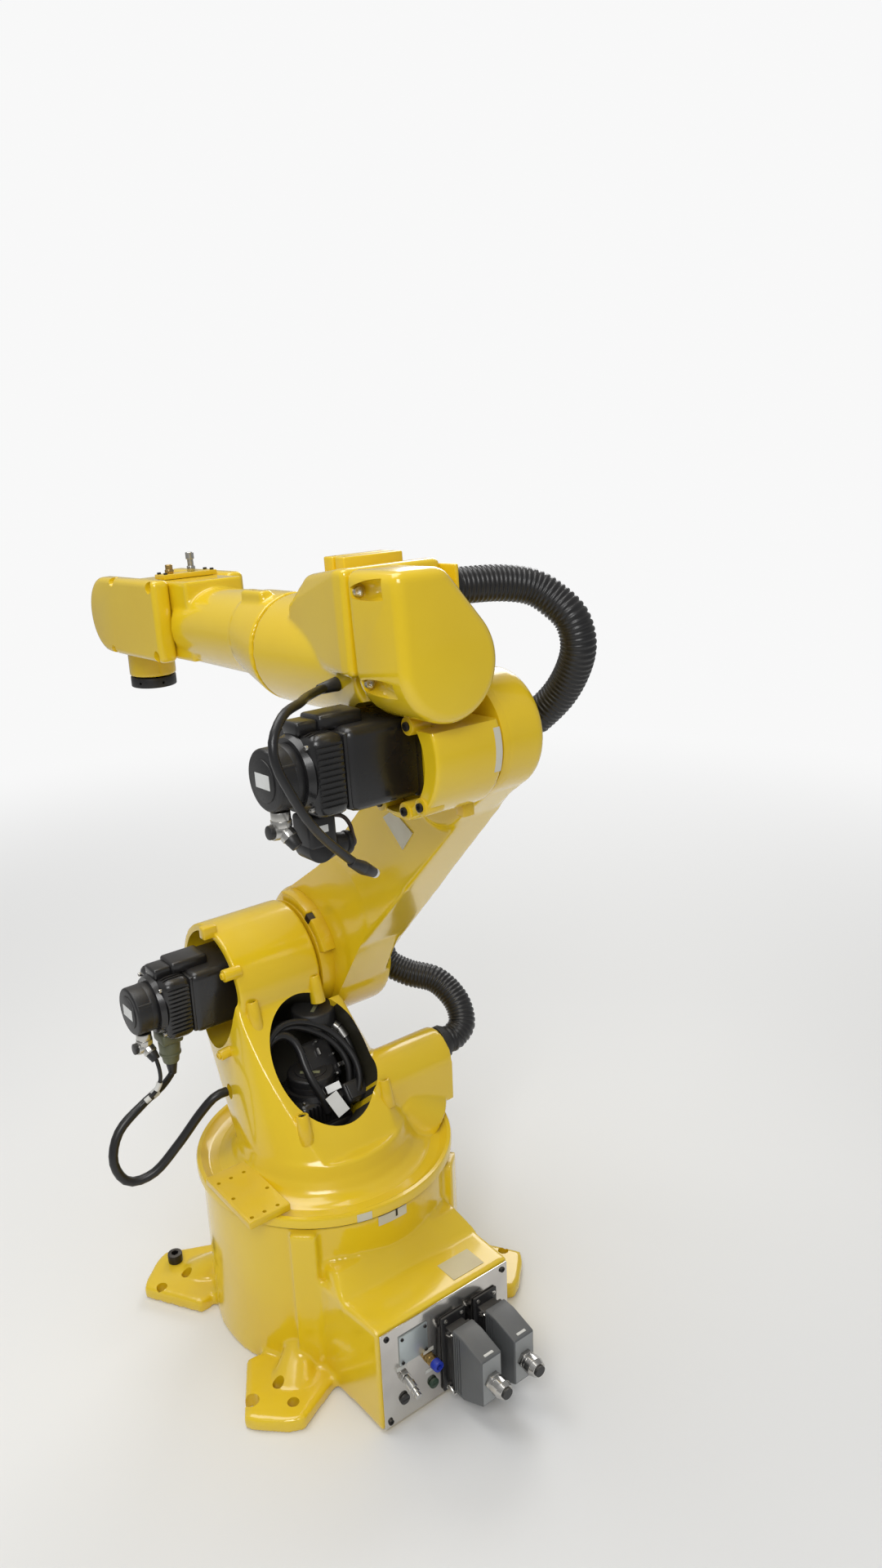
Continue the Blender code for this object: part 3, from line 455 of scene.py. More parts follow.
def moved(obj, matrix):
    """Put a piece where a joint's frame is."""
    obj.data.transform(matrix)
    return obj


BODY_FRAME = {"lower_arm": J2, "elbow": J3, "forearm": J4, "wrist": J5, "flange": J6}


def joint_piece(obj, name, body, *looks, **more):
    """Finish a piece that is modelled in the frame of its body's own joint."""
    return made_piece(moved(obj, BODY_FRAME[body]), name, body, *looks, **more)


def round_place(radius, degrees):
    """Give the place at this angle on a circle."""
    angle = math.radians(degrees)
    return radius * math.cos(angle), radius * math.sin(angle)


def cap_screw(at, out, radius, height):
    """Add a socket head screw whose head stands on a point and looks out of it."""
    at, out = Vector(at), Vector(out).normalized()
    head = rounded(round_piece(at - out * 0.001, at + out * height, radius, sides=18), radius * 0.14)
    socket = round_piece(at + out * height * 0.4, at + out * (height + 0.002), radius * 0.52, sides=6)
    return carved(head, socket)


PAINT = finish_of("glossy_yellow_paint", (0.8, 0.56, 0.01), (0.72, 0.47, 0.006), 0.2,
                  coat=0.6, variation=0.45, dust=0.1, patch_scale=5.0, grain_scale=520.0,
                  bump=0.05, wave=0.45, slot="yellow_paint")
PAINT_EDGE = finish_of("brushed_on_yellow_paint", (0.79, 0.54, 0.01), (0.7, 0.45, 0.006), 0.26,
                       coat=0.4, variation=0.6, dust=0.16, patch_scale=9.0, grain_scale=420.0,
                       bump=0.08, wave=0.6, roughness_spread=0.12, slot="yellow_paint")
# Black oxide for the screws, the dark joint line and the zero mark. It is also painted shade on the floors
# of the stop block's holes and in the pocket between the arm's stop pads.
BLACK_OXIDE_AND_SHADE = finish_of("black_oxide_and_painted_shade", (0.018, 0.017, 0.017), (0.045, 0.04, 0.035), 0.42,
                        metallic=0.6, variation=0.7, dust=0.25, patch_scale=60.0, bump=0.15,
                        slot="black_paint")
BRIGHT_ZINC = finish_of("bright_zinc", (0.62, 0.61, 0.58), (0.45, 0.44, 0.42), 0.28,
                        metallic=1.0, dust=0.05, patch_scale=40.0, bump=0.08, slot="bright_steel")

FOOT_OUTLINE = ((0.09, 0.09), (0.19, 0.118), (0.231, 0.204), (0.222, 0.222), (0.19, 0.258),
                (0.172, 0.27), (0.078, 0.214))
FOOT_HOLES = ((0.153, 0.201), (0.153, 0.247), (0.196, 0.201))
corners = [(x, y) for x in (1, -1) for y in (1, -1)]
drum = rod("Z", 0, 0.2655, 0.1995, sides=96)
rear_box = wrapped(box_piece((-0.31, -0.121, 0.005), (-0.305, 0.121, 0.178)),
                   box_piece((-0.01, -0.133, 0.005), (0.01, 0.133, 0.178)))
box_root = wrapped(box_piece((-0.23, -0.126, 0.16), (-0.225, 0.126, 0.178)),
                   box_piece((-0.196, -0.112, 0.178), (-0.15, 0.112, 0.205)))
feet = [flat_piece([(x * u, y * v) for u, v in FOOT_OUTLINE], 0.0, 0.0235) for x, y in corners]
webs = [wrapped(rod("Z", 0.0, 0.06, 0.03, 0.012, at=(x * 0.118, y * 0.14)),
                rod("Z", 0.0, 0.026, 0.03, at=(x * 0.15, y * 0.172)))
        for x, y in corners]
posts = []
for angle in (138, -138):
    way = turned(angle, "Z")
    posts.append(moved(box_piece((0.15, -0.02, 0.004), (0.213, 0.02, 0.261)), way))
base = cast_skin(joined(drum, rear_box, box_root, *feet, *webs, *posts), 0.004, 6)
floor_cut = box_piece((-0.6, -0.6, -0.1), (0.6, 0.6, 0.0005))
top_cut = box_piece((-0.6, -0.6, 0.2649), (0.6, 0.6, 0.4))
rear_cut = box_piece((-0.5, -0.3, -0.1), (-0.31, 0.3, 0.4))
holes = [rod("Z", -0.02, 0.05, 0.012 if (x, y, u) == (-1, 1, 0.153) and v > 0.22 else 0.009,
             at=(x * u, y * v), sides=28)
         for x, y in corners for u, v in FOOT_HOLES]
carved(base, floor_cut, top_cut, rear_cut, *holes)
made_piece(base, "base_cast_body", "base", PAINT, "base_casting")

bearing = rod("Z", 0.2645, 0.2697, 0.1975, sides=96)
made_piece(rounded(bearing, 0.001, 3), "base_bearing_ring", "base", PAINT_EDGE)

bolt = joined(rod("Z", 0.0005, 0.028, 0.0078, at=(0.196, 0.201), sides=20),
              cap_screw((0.196, 0.201, 0.0242), (0, 0, 1), radius=0.0124, height=0.0158))
made_piece(bolt, "foot_bolt", "base", BLACK_OXIDE_AND_SHADE, "anchor_bolt")

# Labels and seam of the base
# A thin dark joint line runs round the top of the base, with a short dark mark across it and two
# bare pale stickers beside it.
def bent_strip(radius, middle, half, low, high, thick=0.0006):
    """Add a strip that lies on a round wall between two heights, its place given in degrees."""
    angles = [middle + half * (step / 8 - 1) for step in range(17)]
    outline = [round_place(radius + thick, angle) for angle in angles]
    outline += [round_place(radius, angle) for angle in reversed(angles)]
    return flat_piece(outline, low, high)


BASE_LABEL = finish_of("bare_grey_white_label", (0.62, 0.6, 0.5), (0.5, 0.47, 0.36), 0.4, patch_scale=24.0)
made_piece(bent_strip(0.2071, 163.7, 3.2, 0.2712, 0.284), "ring_bare_label", "turret", BASE_LABEL)
made_piece(bent_strip(0.1994, 177.6, 7.2, 0.247, 0.263, 0.001), "drum_bare_label", "base", BASE_LABEL)
made_piece(bent_strip(0.1994, 179.4, 0.5, 0.252, 0.2647, 0.0013), "zero_mark", "base", BLACK_OXIDE_AND_SHADE)
seam = rod("Z", 0.264, 0.2652, 0.1999, sides=96)
made_piece(rounded(seam, 0.0003, 1), "base_joint_line", "base", BLACK_OXIDE_AND_SHADE)


# Connector panel
# The box is closed by a bright nickel-plated plate held by corner screws. It carries a frosted
# cover plate, two air fittings with bare labels and two round plugs.
NICKEL = finish_of("bright_nickel_plate", (0.66, 0.64, 0.6), (0.46, 0.43, 0.42), 0.15,
                   metallic=1.0, variation=0.8, dust=0.06, patch_scale=9.0, grain_scale=160.0,
                   bump=0.05, wave=0.5, roughness_spread=0.16, slot="bright_steel")
FROSTED = finish_of("frosted_cover_plate", (0.5, 0.55, 0.56), (0.42, 0.46, 0.46), 0.34,
                    metallic=0.7, dust=0.06, patch_scale=30.0, slot="bright_steel")
BRASS = finish_of("plain_brass", (0.56, 0.38, 0.14), (0.4, 0.27, 0.11), 0.3, metallic=1.0,
                  variation=0.6, patch_scale=60.0, slot="brass")
BLUE = finish_of("blue_release_ring", (0.01, 0.035, 0.42), (0.012, 0.03, 0.3), 0.35,
                 variation=0.4, patch_scale=60.0)
PALE_LABEL = finish_of("bare_pale_label", (0.62, 0.62, 0.58), (0.52, 0.51, 0.47), 0.4,
                       variation=0.4, patch_scale=40.0)
PLUG_BLACK = finish_of("plug_black_plastic", (0.014, 0.014, 0.015), (0.028, 0.027, 0.026), 0.4, dust=0.2,
                       patch_scale=40.0, bump=0.2, slot="black_paint")
PLUG_GREEN = finish_of("plug_dark_green", (0.022, 0.055, 0.03), (0.03, 0.05, 0.032), 0.42, dust=0.2,
                       patch_scale=60.0, slot="dark_green_plug")
PANEL_FACE = -0.3134
plate = soft_box((-0.3133, -0.1178, 0.0082), (-0.3103, 0.1178, 0.1748), 0.0008)
made_piece(plate, "nickel_connector_plate", "base", NICKEL, "connector_panel")
corner_screws = [cap_screw((-0.3131, y, z), (-1, 0, 0), 0.0044, 0.0026)
                 for y in (-0.108, 0.108) for z in (0.0175, 0.1655)]
cover = soft_box((-0.3166, 0.038, 0.107), (-0.3136, 0.088, 0.157), 0.0007)
made_piece(cover, "frosted_square_cover", "base", FROSTED, "panel_cover_plate")
corner_screws += [cap_screw((-0.3164, y, z), (-1, 0, 0), 0.0026, 0.002)
                  for y in (0.0425, 0.0835) for z in (0.1115, 0.1525)]
made_piece(joined(*corner_screws), "panel_screws", "base", BLACK_OXIDE_AND_SHADE)

brass_hex = rod("X", PANEL_FACE, -0.3215, 0.0092, at=(0.036, 0.09), sides=6)
brass_neck = rod("X", -0.321, -0.3285, 0.0082, at=(0.036, 0.09), sides=32)
made_piece(rounded(joined(brass_hex, brass_neck), 0.0005, 1), "brass_air_fitting", "base",
           BRASS, "air_fitting")
ring_out = rod("X", -0.328, -0.339, 0.0088, 0.0082, at=(0.036, 0.09), sides=36)
ring_hole = rod("X", -0.33, -0.342, 0.0046, at=(0.036, 0.09), sides=28)
made_piece(carved(rounded(ring_out, 0.0008), ring_hole), "blue_fitting_ring", "base", BLUE)

tail = [rod("X", PANEL_FACE, -0.32, 0.0088, at=(0.082, 0.086), sides=6),
        round_piece((-0.3195, 0.082, 0.086), (-0.3285, 0.082, 0.0835), 0.0056, sides=28),
        round_piece((-0.327, 0.082, 0.0842), (-0.3375, 0.082, 0.08), 0.0072, sides=28),
        round_piece((-0.337, 0.082, 0.0802), (-0.344, 0.082, 0.0775), 0.005, 0.0062, sides=28),
        round_piece((-0.3435, 0.082, 0.0777), (-0.35, 0.082, 0.0752), 0.0044, 0.0056, sides=28)]
made_piece(rounded(joined(*tail), 0.0005, 1), "barbed_hose_tail", "base", BRIGHT_ZINC, "hose_tail_fitting")

for title, (y, z), finish, node in (
        ("black_round_plug", (0.083, 0.045), PLUG_BLACK, "round_black_plug"),
        ("green_round_plug", (0.03, 0.04), PLUG_GREEN, "round_green_plug")):
    rim = rounded(rod("X", PANEL_FACE, -0.318, 0.008, at=(y, z), sides=40), 0.0012)
    slot_cut = box_piece((-0.32, y - 0.005, z - 0.0009), (-0.3168, y + 0.005, z + 0.0009))
    made_piece(carved(rim, slot_cut), title, "base", finish, node)
labels = [box_piece((-0.3139, y - 0.009, z - 0.003), (-0.3132, y + 0.009, z + 0.003))
          for y, z in ((0.036, 0.102), (0.084, 0.101), (0.034, 0.066))]
made_piece(joined(*labels), "fitting_bare_labels", "base", PALE_LABEL)

# Heavy connectors
# Two heavy rectangular connectors stand side by side on the plate. Each has a black die-cast
# housing with a screwed flange and steel levers, a tapered grey hood and a metal cable gland.
HOOD_GREY = finish_of("hood_grey_enamel", (0.105, 0.11, 0.112), (0.085, 0.088, 0.09), 0.42, dust=0.12,
                      patch_scale=18.0, grain_scale=700.0, bump=0.25, slot="grey_hood")
HOOD_END = finish_of("hood_end_pale_grey", (0.3, 0.31, 0.31), (0.25, 0.26, 0.26), 0.45,
                     variation=0.4, dust=0.05, patch_scale=18.0, grain_scale=700.0, bump=0.2)
GLAND_STEEL = finish_of("gland_bright_steel", (0.55, 0.54, 0.52), (0.36, 0.35, 0.33), 0.22,
                        metallic=1.0, variation=0.7, dust=0.08, patch_scale=50.0, slot="bright_steel")
GLAND_Z = 0.089
for side, y in (("left", -0.009), ("right", -0.071)):
    flange = soft_box((-0.3176, y - 0.0219, 0.0132), (-0.3136, y + 0.0219, 0.1458), 0.0016)
    rise = soft_box((-0.3368, y - 0.0165, 0.029), (-0.3166, y + 0.0165, 0.13), 0.0025, 3)
    lip = soft_box((-0.3375, y - 0.0185, 0.027), (-0.3335, y + 0.0185, 0.132), 0.0018)
    pegs = [rod("Y", y - 0.0212, y + 0.0212, 0.0038, at=(-0.328, z), sides=20)
            for z in (0.0335, 0.1255)]
    made_piece(joined(flange, rise, lip, *pegs), f"{side}_black_housing", "base", PLUG_BLACK,
               f"connector_housing_{side}")
    screws = [cap_screw((-0.3174, y + a, b), (-1, 0, 0), 0.0033, 0.0024)
              for a in (-0.015, 0.015) for b in (0.02, 0.139)]
    bend = ((-0.328, 0.0), (-0.333, 0.0015), (-0.337, 0.0045), (-0.3395, 0.008))
    levers = []
    for z, way in ((0.1255, 1), (0.0335, -1)):
        for edge in (-0.0205, 0.0205):
            levers.append(cable([Vector((x, y + edge, z + way * up)) for x, up in bend], 0.0016, 2))
        levers.append(cable([Vector((-0.3395, y + edge, z + way * 0.008)) for edge in (-0.0212, 0.0212)],
                            0.0019, 2))
    made_piece(joined(*screws, *levers), f"{side}_lever_clips", "base", BRIGHT_ZINC)
    hood = rounded(wrapped(box_piece((-0.36, y - 0.0189, 0.0285), (-0.3379, y + 0.0189, 0.1395)),
                           box_piece((-0.4036, y - 0.0186, 0.05), (-0.403, y + 0.0186, 0.128))), 0.0022, 3)
    ribs = [box_piece((x, y + sign * 0.0184 - 0.0014, 0.034),
                      (x + 0.002, y + sign * 0.0184 + 0.0014, 0.134))
            for x in (-0.345, -0.35, -0.355) for sign in (1, -1)]
    made_piece(carved(hood, *ribs), f"{side}_tapered_hood", "base", HOOD_GREY, f"connector_hood_{side}")
    end = soft_box((-0.4039, y - 0.0166, 0.052), (-0.403, y + 0.0166, 0.1258), 0.0004, 1)
    made_piece(end, f"{side}_hood_end_face", "base", HOOD_END)
    tag = box_piece((-0.399, y - 0.008, 0.129), (-0.3925, y + 0.008, 0.1303))
    made_piece(tag, f"{side}_hood_bare_tag", "base", PALE_LABEL)
    gland = [rod("X", -0.4037, -0.4125, 0.0144, at=(y, GLAND_Z), sides=6),
             rod("X", -0.412, -0.4165, 0.0134, at=(y, GLAND_Z), sides=40),
             rod("X", -0.416, -0.4275, 0.0142, at=(y, GLAND_Z), sides=10),
             rod("X", -0.427, -0.435, 0.0138, 0.0112, at=(y, GLAND_Z), sides=40)]
    throat = rod("X", -0.43, -0.4382, 0.0085, at=(y, GLAND_Z), sides=32)
    shell = carved(rounded(joined(*gland), 0.0006, 1),
                   rod("X", -0.431, -0.442, 0.0088, at=(y, GLAND_Z), sides=32))
    made_piece(shell, f"{side}_cable_gland", "base", GLAND_STEEL, f"cable_gland_{side}")
    made_piece(throat, f"{side}_gland_seal", "base", PLUG_BLACK)

# Sticker on the box
# A bare cream sticker lies on the yellow paint on top of the box.
LABEL_CREAM = finish_of("bare_cream_label", (0.6, 0.52, 0.3), (0.52, 0.44, 0.24), 0.36,
                        variation=0.4, dust=0.12, patch_scale=24.0)
sticker = moved(box_piece((-0.02, -0.029, -0.0001), (0.02, 0.029, 0.0004)),
                Matrix.Translation((-0.276, -0.058, 0.1783)))
made_piece(sticker, "box_top_bare_label", "base", LABEL_CREAM)


# Turret casting
# The turning part over the base is a hollow casting: a flat ring, a body that sweeps up to the
# second axis, and an oval window through which the first axis motor shows.
RING_LOW, RING_TOP, DISH = 0.27, 0.286, 0.276
bpy.ops.mesh.primitive_circle_add(vertices=12, radius=0.01, location=(0, 0, 0))
ring = bpy.context.object
ring.data.clear_geometry()
profile = ((0.1, RING_LOW), (0.2062, RING_LOW), (0.207, RING_LOW + 0.001),
           (0.207, RING_TOP - 0.0025), (0.2055, RING_TOP), (0.1995, RING_TOP),
           (0.198, RING_TOP - 0.0012), (0.189, DISH + 0.0012), (0.186, DISH), (0.1, DISH),
           (0.1, RING_LOW))
ring.data.from_pydata([(r, 0.0, z) for r, z in profile[:-1]],
                      [(n, (n + 1) % (len(profile) - 1)) for n in range(len(profile) - 1)], [])
whole_turn = {"steps": 128, "angle": math.tau, "center": (0, 0, 0), "axis": (0, 0, 1)}
edited(ring, (bpy.ops.mesh.spin, whole_turn), (bpy.ops.mesh.remove_doubles, {"threshold": 0.00005}))
made_piece(ring, "turret_ring", "turret", PAINT)

WINDOW = Matrix.Translation((-0.012, 0.0, 0.437)) @ turned(-48.9, "Y")


def head_rod(low_y, high_y, radius, sides=72):
    """Add a disc of the second axis between two places on it."""
    return rod("Y", low_y, high_y, radius, at=(AXIS_X, AXIS_Z), sides=sides)


body = wrapped(rod("Z", 0.272, 0.316, 0.134, sides=72), head_rod(-0.044, 0.09, 0.097))
over = moved(box_piece((-0.4, -0.4, 0.0), (0.4, 0.4, 0.4)), WINDOW)
arm_room = head_rod(-0.3, -0.046, 0.12)
carved(body, over, arm_room)
root = [rod("Z", low, high, radius, end_radius, sides=72)
        for low, high, radius, end_radius in ((0.271, 0.278, 0.183, 0.168), (0.276, 0.286, 0.168, 0.152),
                                              (0.284, 0.3, 0.152, 0.142), (0.298, 0.324, 0.142, 0.132))]
head = head_rod(-0.05, 0.096, 0.101)
low_hose = wrapped(box_piece((-0.073, -0.213, 0.302), (0.018, -0.06, 0.368)),
                   rod("Y", -0.213, -0.06, 0.0455, at=(-0.0275, 0.37)))
hose_root = round_piece((-0.028, -0.15, 0.274), (-0.028, -0.11, 0.33), 0.075, 0.05)
skin = cast_skin(joined(body, *root, head, low_hose, hose_root), 0.0028, 8)
oval = rod("Z", -0.15, 0.06, 1.0, sides=96)
oval.data.transform(Matrix.Diagonal((0.11, 0.083, 1.0, 1.0)))
moved(oval, WINDOW)
lead_in = round_piece((0.076, 0.08, 0.38), (0.088, 0.18, 0.385), 0.0125, sides=32)
well = box_piece((-0.026, -0.056, 0.284), (0.086, 0.056, 0.43))
bore = joined(head_rod(0.044, 0.2, 0.0895), rod("Y", 0.044, 0.2, 0.084, at=(0.158, 0.515), sides=64))
applied(bore, "REMESH", mode="VOXEL", voxel_size=0.004)
flat_end = box_piece((-0.2, -0.3, 0.2), (0.2, -0.2135, 0.5))
carved(skin, oval, well, bore, lead_in, flat_end)
made_piece(skin, "turret_cast_body", "turret", PAINT, "turret_casting", angle=40)
# The faces deep inside the oval window and the side wall by the arm get a near-black material. It is
# painted shade for the shadowed inside of the casting.
PAINTED_SHADE_INSIDE = finish_of("painted_shade_inside", (0.022, 0.02, 0.012), (0.036, 0.03, 0.014), 0.55,
                      variation=0.6, patch_scale=9.0, bump=0.15)
skin.data.materials.append(PAINTED_SHADE_INSIDE)
look_in = WINDOW.inverted()
for face in skin.data.polygons:
    x, y, z = look_in @ face.center
    inside = (x / 0.1106) ** 2 + (y / 0.0836) ** 2 < 1.0 and face.center.z > 0.271
    face.material_index = int(inside and -0.1503 < z < -0.016)
# The side wall where the arm meets the turret takes the same painted shade.
side_wall = head_rod(-0.0497, -0.044, 0.0975)
made_piece(rounded(side_wall, 0.001, 3), "turret_arm_side_wall", "turret", PAINTED_SHADE_INSIDE)

bosses, screws = [], []
rise = Vector((0.006, 0.0, 0.03))
for x, y in ((0.1218, 0.0788), (0.1275, -0.038), (-0.0695, 0.0756), (-0.0698, -0.0765)):
    top = WINDOW @ Vector((x, y, 0.012))
    boss = rounded(round_piece(top - rise * 1.5, top, 0.0125, 0.0096, sides=32), 0.0012)
    pocket = round_piece(top - rise * 0.16, top + rise * 0.2, 0.0062, sides=24)
    bosses.append(carved(boss, pocket))
    screws.append(cap_screw(top - rise * 0.16, rise, 0.0054, 0.0034))
for start, end, radius in (((0.0755, 0.086, 0.5865), (0.0755, 0.115, 0.5865), 0.01),
                           ((0.084, 0.094, 0.4535), (0.081, 0.132, 0.451), 0.0086)):
    bosses.append(rounded(round_piece(start, end, radius, sides=32), 0.0012))
    bosses.append(cap_screw(end, Vector(end) - Vector(start), 0.0056, 0.0036))
lug = box_piece((0.135, 0.088, 0.624), (0.152, 0.113, 0.645))
bosses.append(rounded(lug, 0.003, 3))
made_piece(joined(*bosses), "window_screw_bosses", "turret", PAINT_EDGE)
made_piece(joined(*screws), "window_screws", "turret", BLACK_OXIDE_AND_SHADE)

# Stop pad
# A plain yellow block is screwed on the ring over the base. Two rows of three small tapped holes
# and two single ones are drilled in its top.
pad = soft_box((-0.125, 0.139, 0.2863), (0.013, 0.208, 0.2993), 0.0022, 3)
HOLES_AT = [(x, y) for x in (-0.116, -0.0135) for y in (0.156, 0.178, 0.199)]
HOLES_AT += [(-0.0706, 0.1475), (-0.06, 0.199)]
carved(pad, *[rod("Z", 0.2885, 0.31, 0.003, at=(x, y), sides=20) for x, y in HOLES_AT])
made_piece(pad, "stop_block", "turret", PAINT_EDGE, "stop_pad")
# Black discs low in the tapped holes are painted shade for the holes' shadowed depth.
floors = [rod("Z", 0.288, 0.293, 0.0029, at=(x, y), sides=20) for x, y in HOLES_AT]
made_piece(joined(*floors), "stop_block_hole_painted_shade", "turret", BLACK_OXIDE_AND_SHADE)


# Motors
# Each axis has a sealed black servo motor with a ribbed end section, a ridge that holds its
# connectors, four flange screws and a round encoder cap.
MOTOR_BLACK = finish_of("motor_black_paint", (0.008, 0.008, 0.009), (0.016, 0.015, 0.015), 0.28,
                        coat=0.25, variation=0.6, dust=0.06, patch_scale=11.0, grain_scale=520.0,
                        bump=0.12, wave=0.25, roughness_spread=0.18, slot="black_paint")
CAP_BLACK = finish_of("moulded_black_plastic", (0.011, 0.011, 0.012), (0.02, 0.019, 0.019), 0.42,
                      dust=0.07, patch_scale=16.0, grain_scale=620.0, bump=0.2, slot="black_paint")
BARE_LABEL = finish_of("bare_white_label", (0.72, 0.73, 0.72), (0.6, 0.6, 0.57), 0.38,
                       variation=0.4, patch_scale=30.0)


def servo_motor(face, shoulder, end, ridged=True):
    """Add a motor along Y, centred on the axis, in two meshes: painted metal and moulded plastic."""
    half = 0.0515
    body = soft_box((-half, face, -half), (half, shoulder - 0.052, half), 0.012, 4)
    ribs = soft_box((-half + 0.001, shoulder - 0.054, -half + 0.001),
                    (half - 0.001, shoulder - 0.006, half - 0.001), 0.014, 3)
    slots = []
    for place in [-0.036 + 0.0072 * step for step in range(11)]:
        for low, high in (((place, -0.08), (place + 0.0034, -0.0475)),
                          ((place, 0.0475), (place + 0.0034, 0.08))):
            slots.append(box_piece((low[0], shoulder - 0.05, low[1]), (high[0], shoulder - 0.01, high[1])))
            slots.append(box_piece((low[1], shoulder - 0.05, low[0]), (high[1], shoulder - 0.01, high[0])))
    carved(ribs, joined(*slots))
    neck = soft_box((-half + 0.004, shoulder - 0.058, -half + 0.004),
                    (half - 0.004, shoulder - 0.05, half - 0.004), 0.01)
    bell = rod("Y", shoulder - 0.008, shoulder + 0.0005, 0.049, 0.045)
    flange = soft_box((-half, face, -half), (half, face + 0.012, half), 0.0035)
    ridge = []
    if ridged:
        long_part = box_piece((-0.023, shoulder - 0.096, half - 0.004),
                              (0.023, shoulder - 0.034, half + 0.0158))
        low_part = box_piece((-0.018, shoulder - 0.036, half - 0.006),
                             (0.018, shoulder - 0.006, half + 0.0118))
        ridge = [rounded(long_part, 0.005, 3), rounded(low_part, 0.004, 3)]
    screws = [cap_screw((x * 0.0435, face + 0.0115, z * 0.0435), (0, 1, 0), 0.0048, 0.005)
              for x, z in corners]
    end_screws = [cap_screw((x * 0.0375, shoulder - 0.0065, z * 0.0375), (0, 1, 0), 0.003, 0.004)
                  for x, z in corners]
    metal = joined(body, ribs, neck, bell, flange, *ridge)
    cap = rounded(rod("Y", shoulder + 0.0004, end - 0.002, 0.0385, sides=56), 0.004, 3)
    skirt = rounded(rod("Y", shoulder + 0.0002, shoulder + 0.011, 0.0389, sides=56), 0.0012)
    disc = rounded(rod("Y", end - 0.004, end - 0.0001, 0.0265, sides=40), 0.0012)
    lugs = [rod("Y", shoulder + 0.009, end - 0.006, 0.0048, at=round_place(0.0345, a), sides=16)
            for a in (30, 150, 270)]
    plastic = joined(cap, skirt, disc, *lugs)
    label = box_piece((-0.0165, end - 0.0004, -0.009), (0.0165, end + 0.0001, 0.009))
    return metal, plastic, label, joined(*screws, *end_screws)


def placed_motor(title, body_name, place, sizes, full=True):
    """Put a motor on its body. One that isn't full has no connector ridge and no label."""
    metal, plastic, label, screws = servo_motor(*sizes, ridged=full)
    made_piece(moved(metal, place), f"{title}_servo_motor", body_name, MOTOR_BLACK, f"{title}_motor",
               angle=30)
    made_piece(moved(plastic, place), f"{title}_encoder_cap", body_name, CAP_BLACK,
               f"{title}_motor_cap", angle=30)
    if full:
        made_piece(moved(label, place), f"{title}_bare_label", body_name, BARE_LABEL)
    else:
        bpy.data.objects.remove(label)
    made_piece(moved(screws, place), f"{title}_motor_screws", body_name, BRIGHT_ZINC)


J2_MOTOR = Matrix.Translation((AXIS_X, 0.0, AXIS_Z))
J3_MOTOR = J3 @ Matrix.Translation((0.034, 0.0, -0.006))
J2_SHOULDER, J3_SHOULDER = 0.2047, 0.1683
placed_motor("j2", "turret", J2_MOTOR, (0.0447, J2_SHOULDER, 0.241))
placed_motor("j3", "elbow", J3_MOTOR, (0.0083, J3_SHOULDER, 0.2046))


# First axis motor
# The motor of the first axis stands upright in the well of the turret. It is seen through the
# oval window, with its round cap, its flange screws and a bare label by its connector.
LABEL_OLIVE = finish_of("bare_olive_label", (0.24, 0.25, 0.13), (0.2, 0.2, 0.11), 0.42,
                        variation=0.4, patch_scale=40.0)
well_place = Matrix.Translation((0.03, 0.0, 0.2864)) @ turned(90, "X")
placed_motor("j1", "turret", well_place, (0.0, 0.0849, 0.1112), full=False)
top_label = moved(box_piece((-0.016, -0.0035, 0.0), (0.016, 0.0035, 0.0005)),
                  Matrix.Translation((0.022, 0.006, 0.3974)) @ Matrix.Rotation(0.9, 4, "Z"))
made_piece(top_label, "j1_cap_bare_label", "turret", LABEL_OLIVE)

# Cables in the window
# Thick black cables are bent in arcs behind the window, over a round cover, a metal connector
# and small terminals. They are laid here in the window's own frame, X up its slope.
plug = soft_box((-0.08, -0.072, -0.062), (-0.046, -0.03, -0.036), 0.005, 3)
plug_lid = soft_box((-0.076, -0.068, -0.037), (-0.05, -0.034, -0.0325), 0.002, 3)
made_piece(moved(joined(plug, plug_lid), WINDOW), "window_connector", "turret", CAP_BLACK)
flag = moved(box_piece((-0.018, -0.012, -0.0005), (0.018, 0.012, 0.0005)),
             WINDOW @ Matrix.Translation((-0.073, -0.006, -0.03)) @ Matrix.Rotation(0.25, 4, "Z"))
scrap = moved(box_piece((-0.006, -0.012, -0.0005), (0.006, 0.012, 0.0005)),
              WINDOW @ Matrix.Translation((-0.046, -0.013, -0.034)) @ Matrix.Rotation(-0.5, 4, "X"))
made_piece(joined(flag, scrap), "window_bare_labels", "turret", BARE_LABEL)
arcs = []
for thickness, knots in (
        (0.0056, ((0.03, 0.073, -0.05), (0.052, 0.07, -0.026), (0.067, 0.052, -0.02), (0.074, 0.03, -0.02),
                  (0.071, 0.005, -0.02), (0.058, -0.02, -0.02), (0.037, -0.042, -0.021),
                  (0.009, -0.056, -0.022), (-0.022, -0.063, -0.024), (-0.051, -0.06, -0.03),
                  (-0.079, -0.046, -0.044))),
        (0.0056, ((0.045, 0.066, -0.05), (0.062, 0.052, -0.034), (0.069, 0.036, -0.03),
                  (0.068, 0.012, -0.03), (0.054, -0.013, -0.03), (0.032, -0.036, -0.031),
                  (0.005, -0.05, -0.032), (-0.022, -0.054, -0.036), (-0.048, -0.05, -0.048))),
        (0.007, ((0.05, 0.066, -0.046), (0.06, 0.052, -0.03), (0.06, 0.036, -0.026),
                 (0.048, 0.024, -0.026), (0.028, 0.019, -0.027), (0.002, 0.02, -0.028),
                 (-0.025, 0.018, -0.03), (-0.05, 0.011, -0.036), (-0.076, 0.004, -0.052))),
        (0.0056, ((0.07, -0.04, -0.06), (0.058, -0.058, -0.044), (0.036, -0.068, -0.04),
                  (0.008, -0.073, -0.04), (-0.022, -0.072, -0.046), (-0.045, -0.066, -0.06)))):
    arcs.append(cable([WINDOW @ point for point in smooth_route(knots, 44)], thickness))
made_piece(joined(*arcs), "window_cable_arcs", "turret", RUBBER)
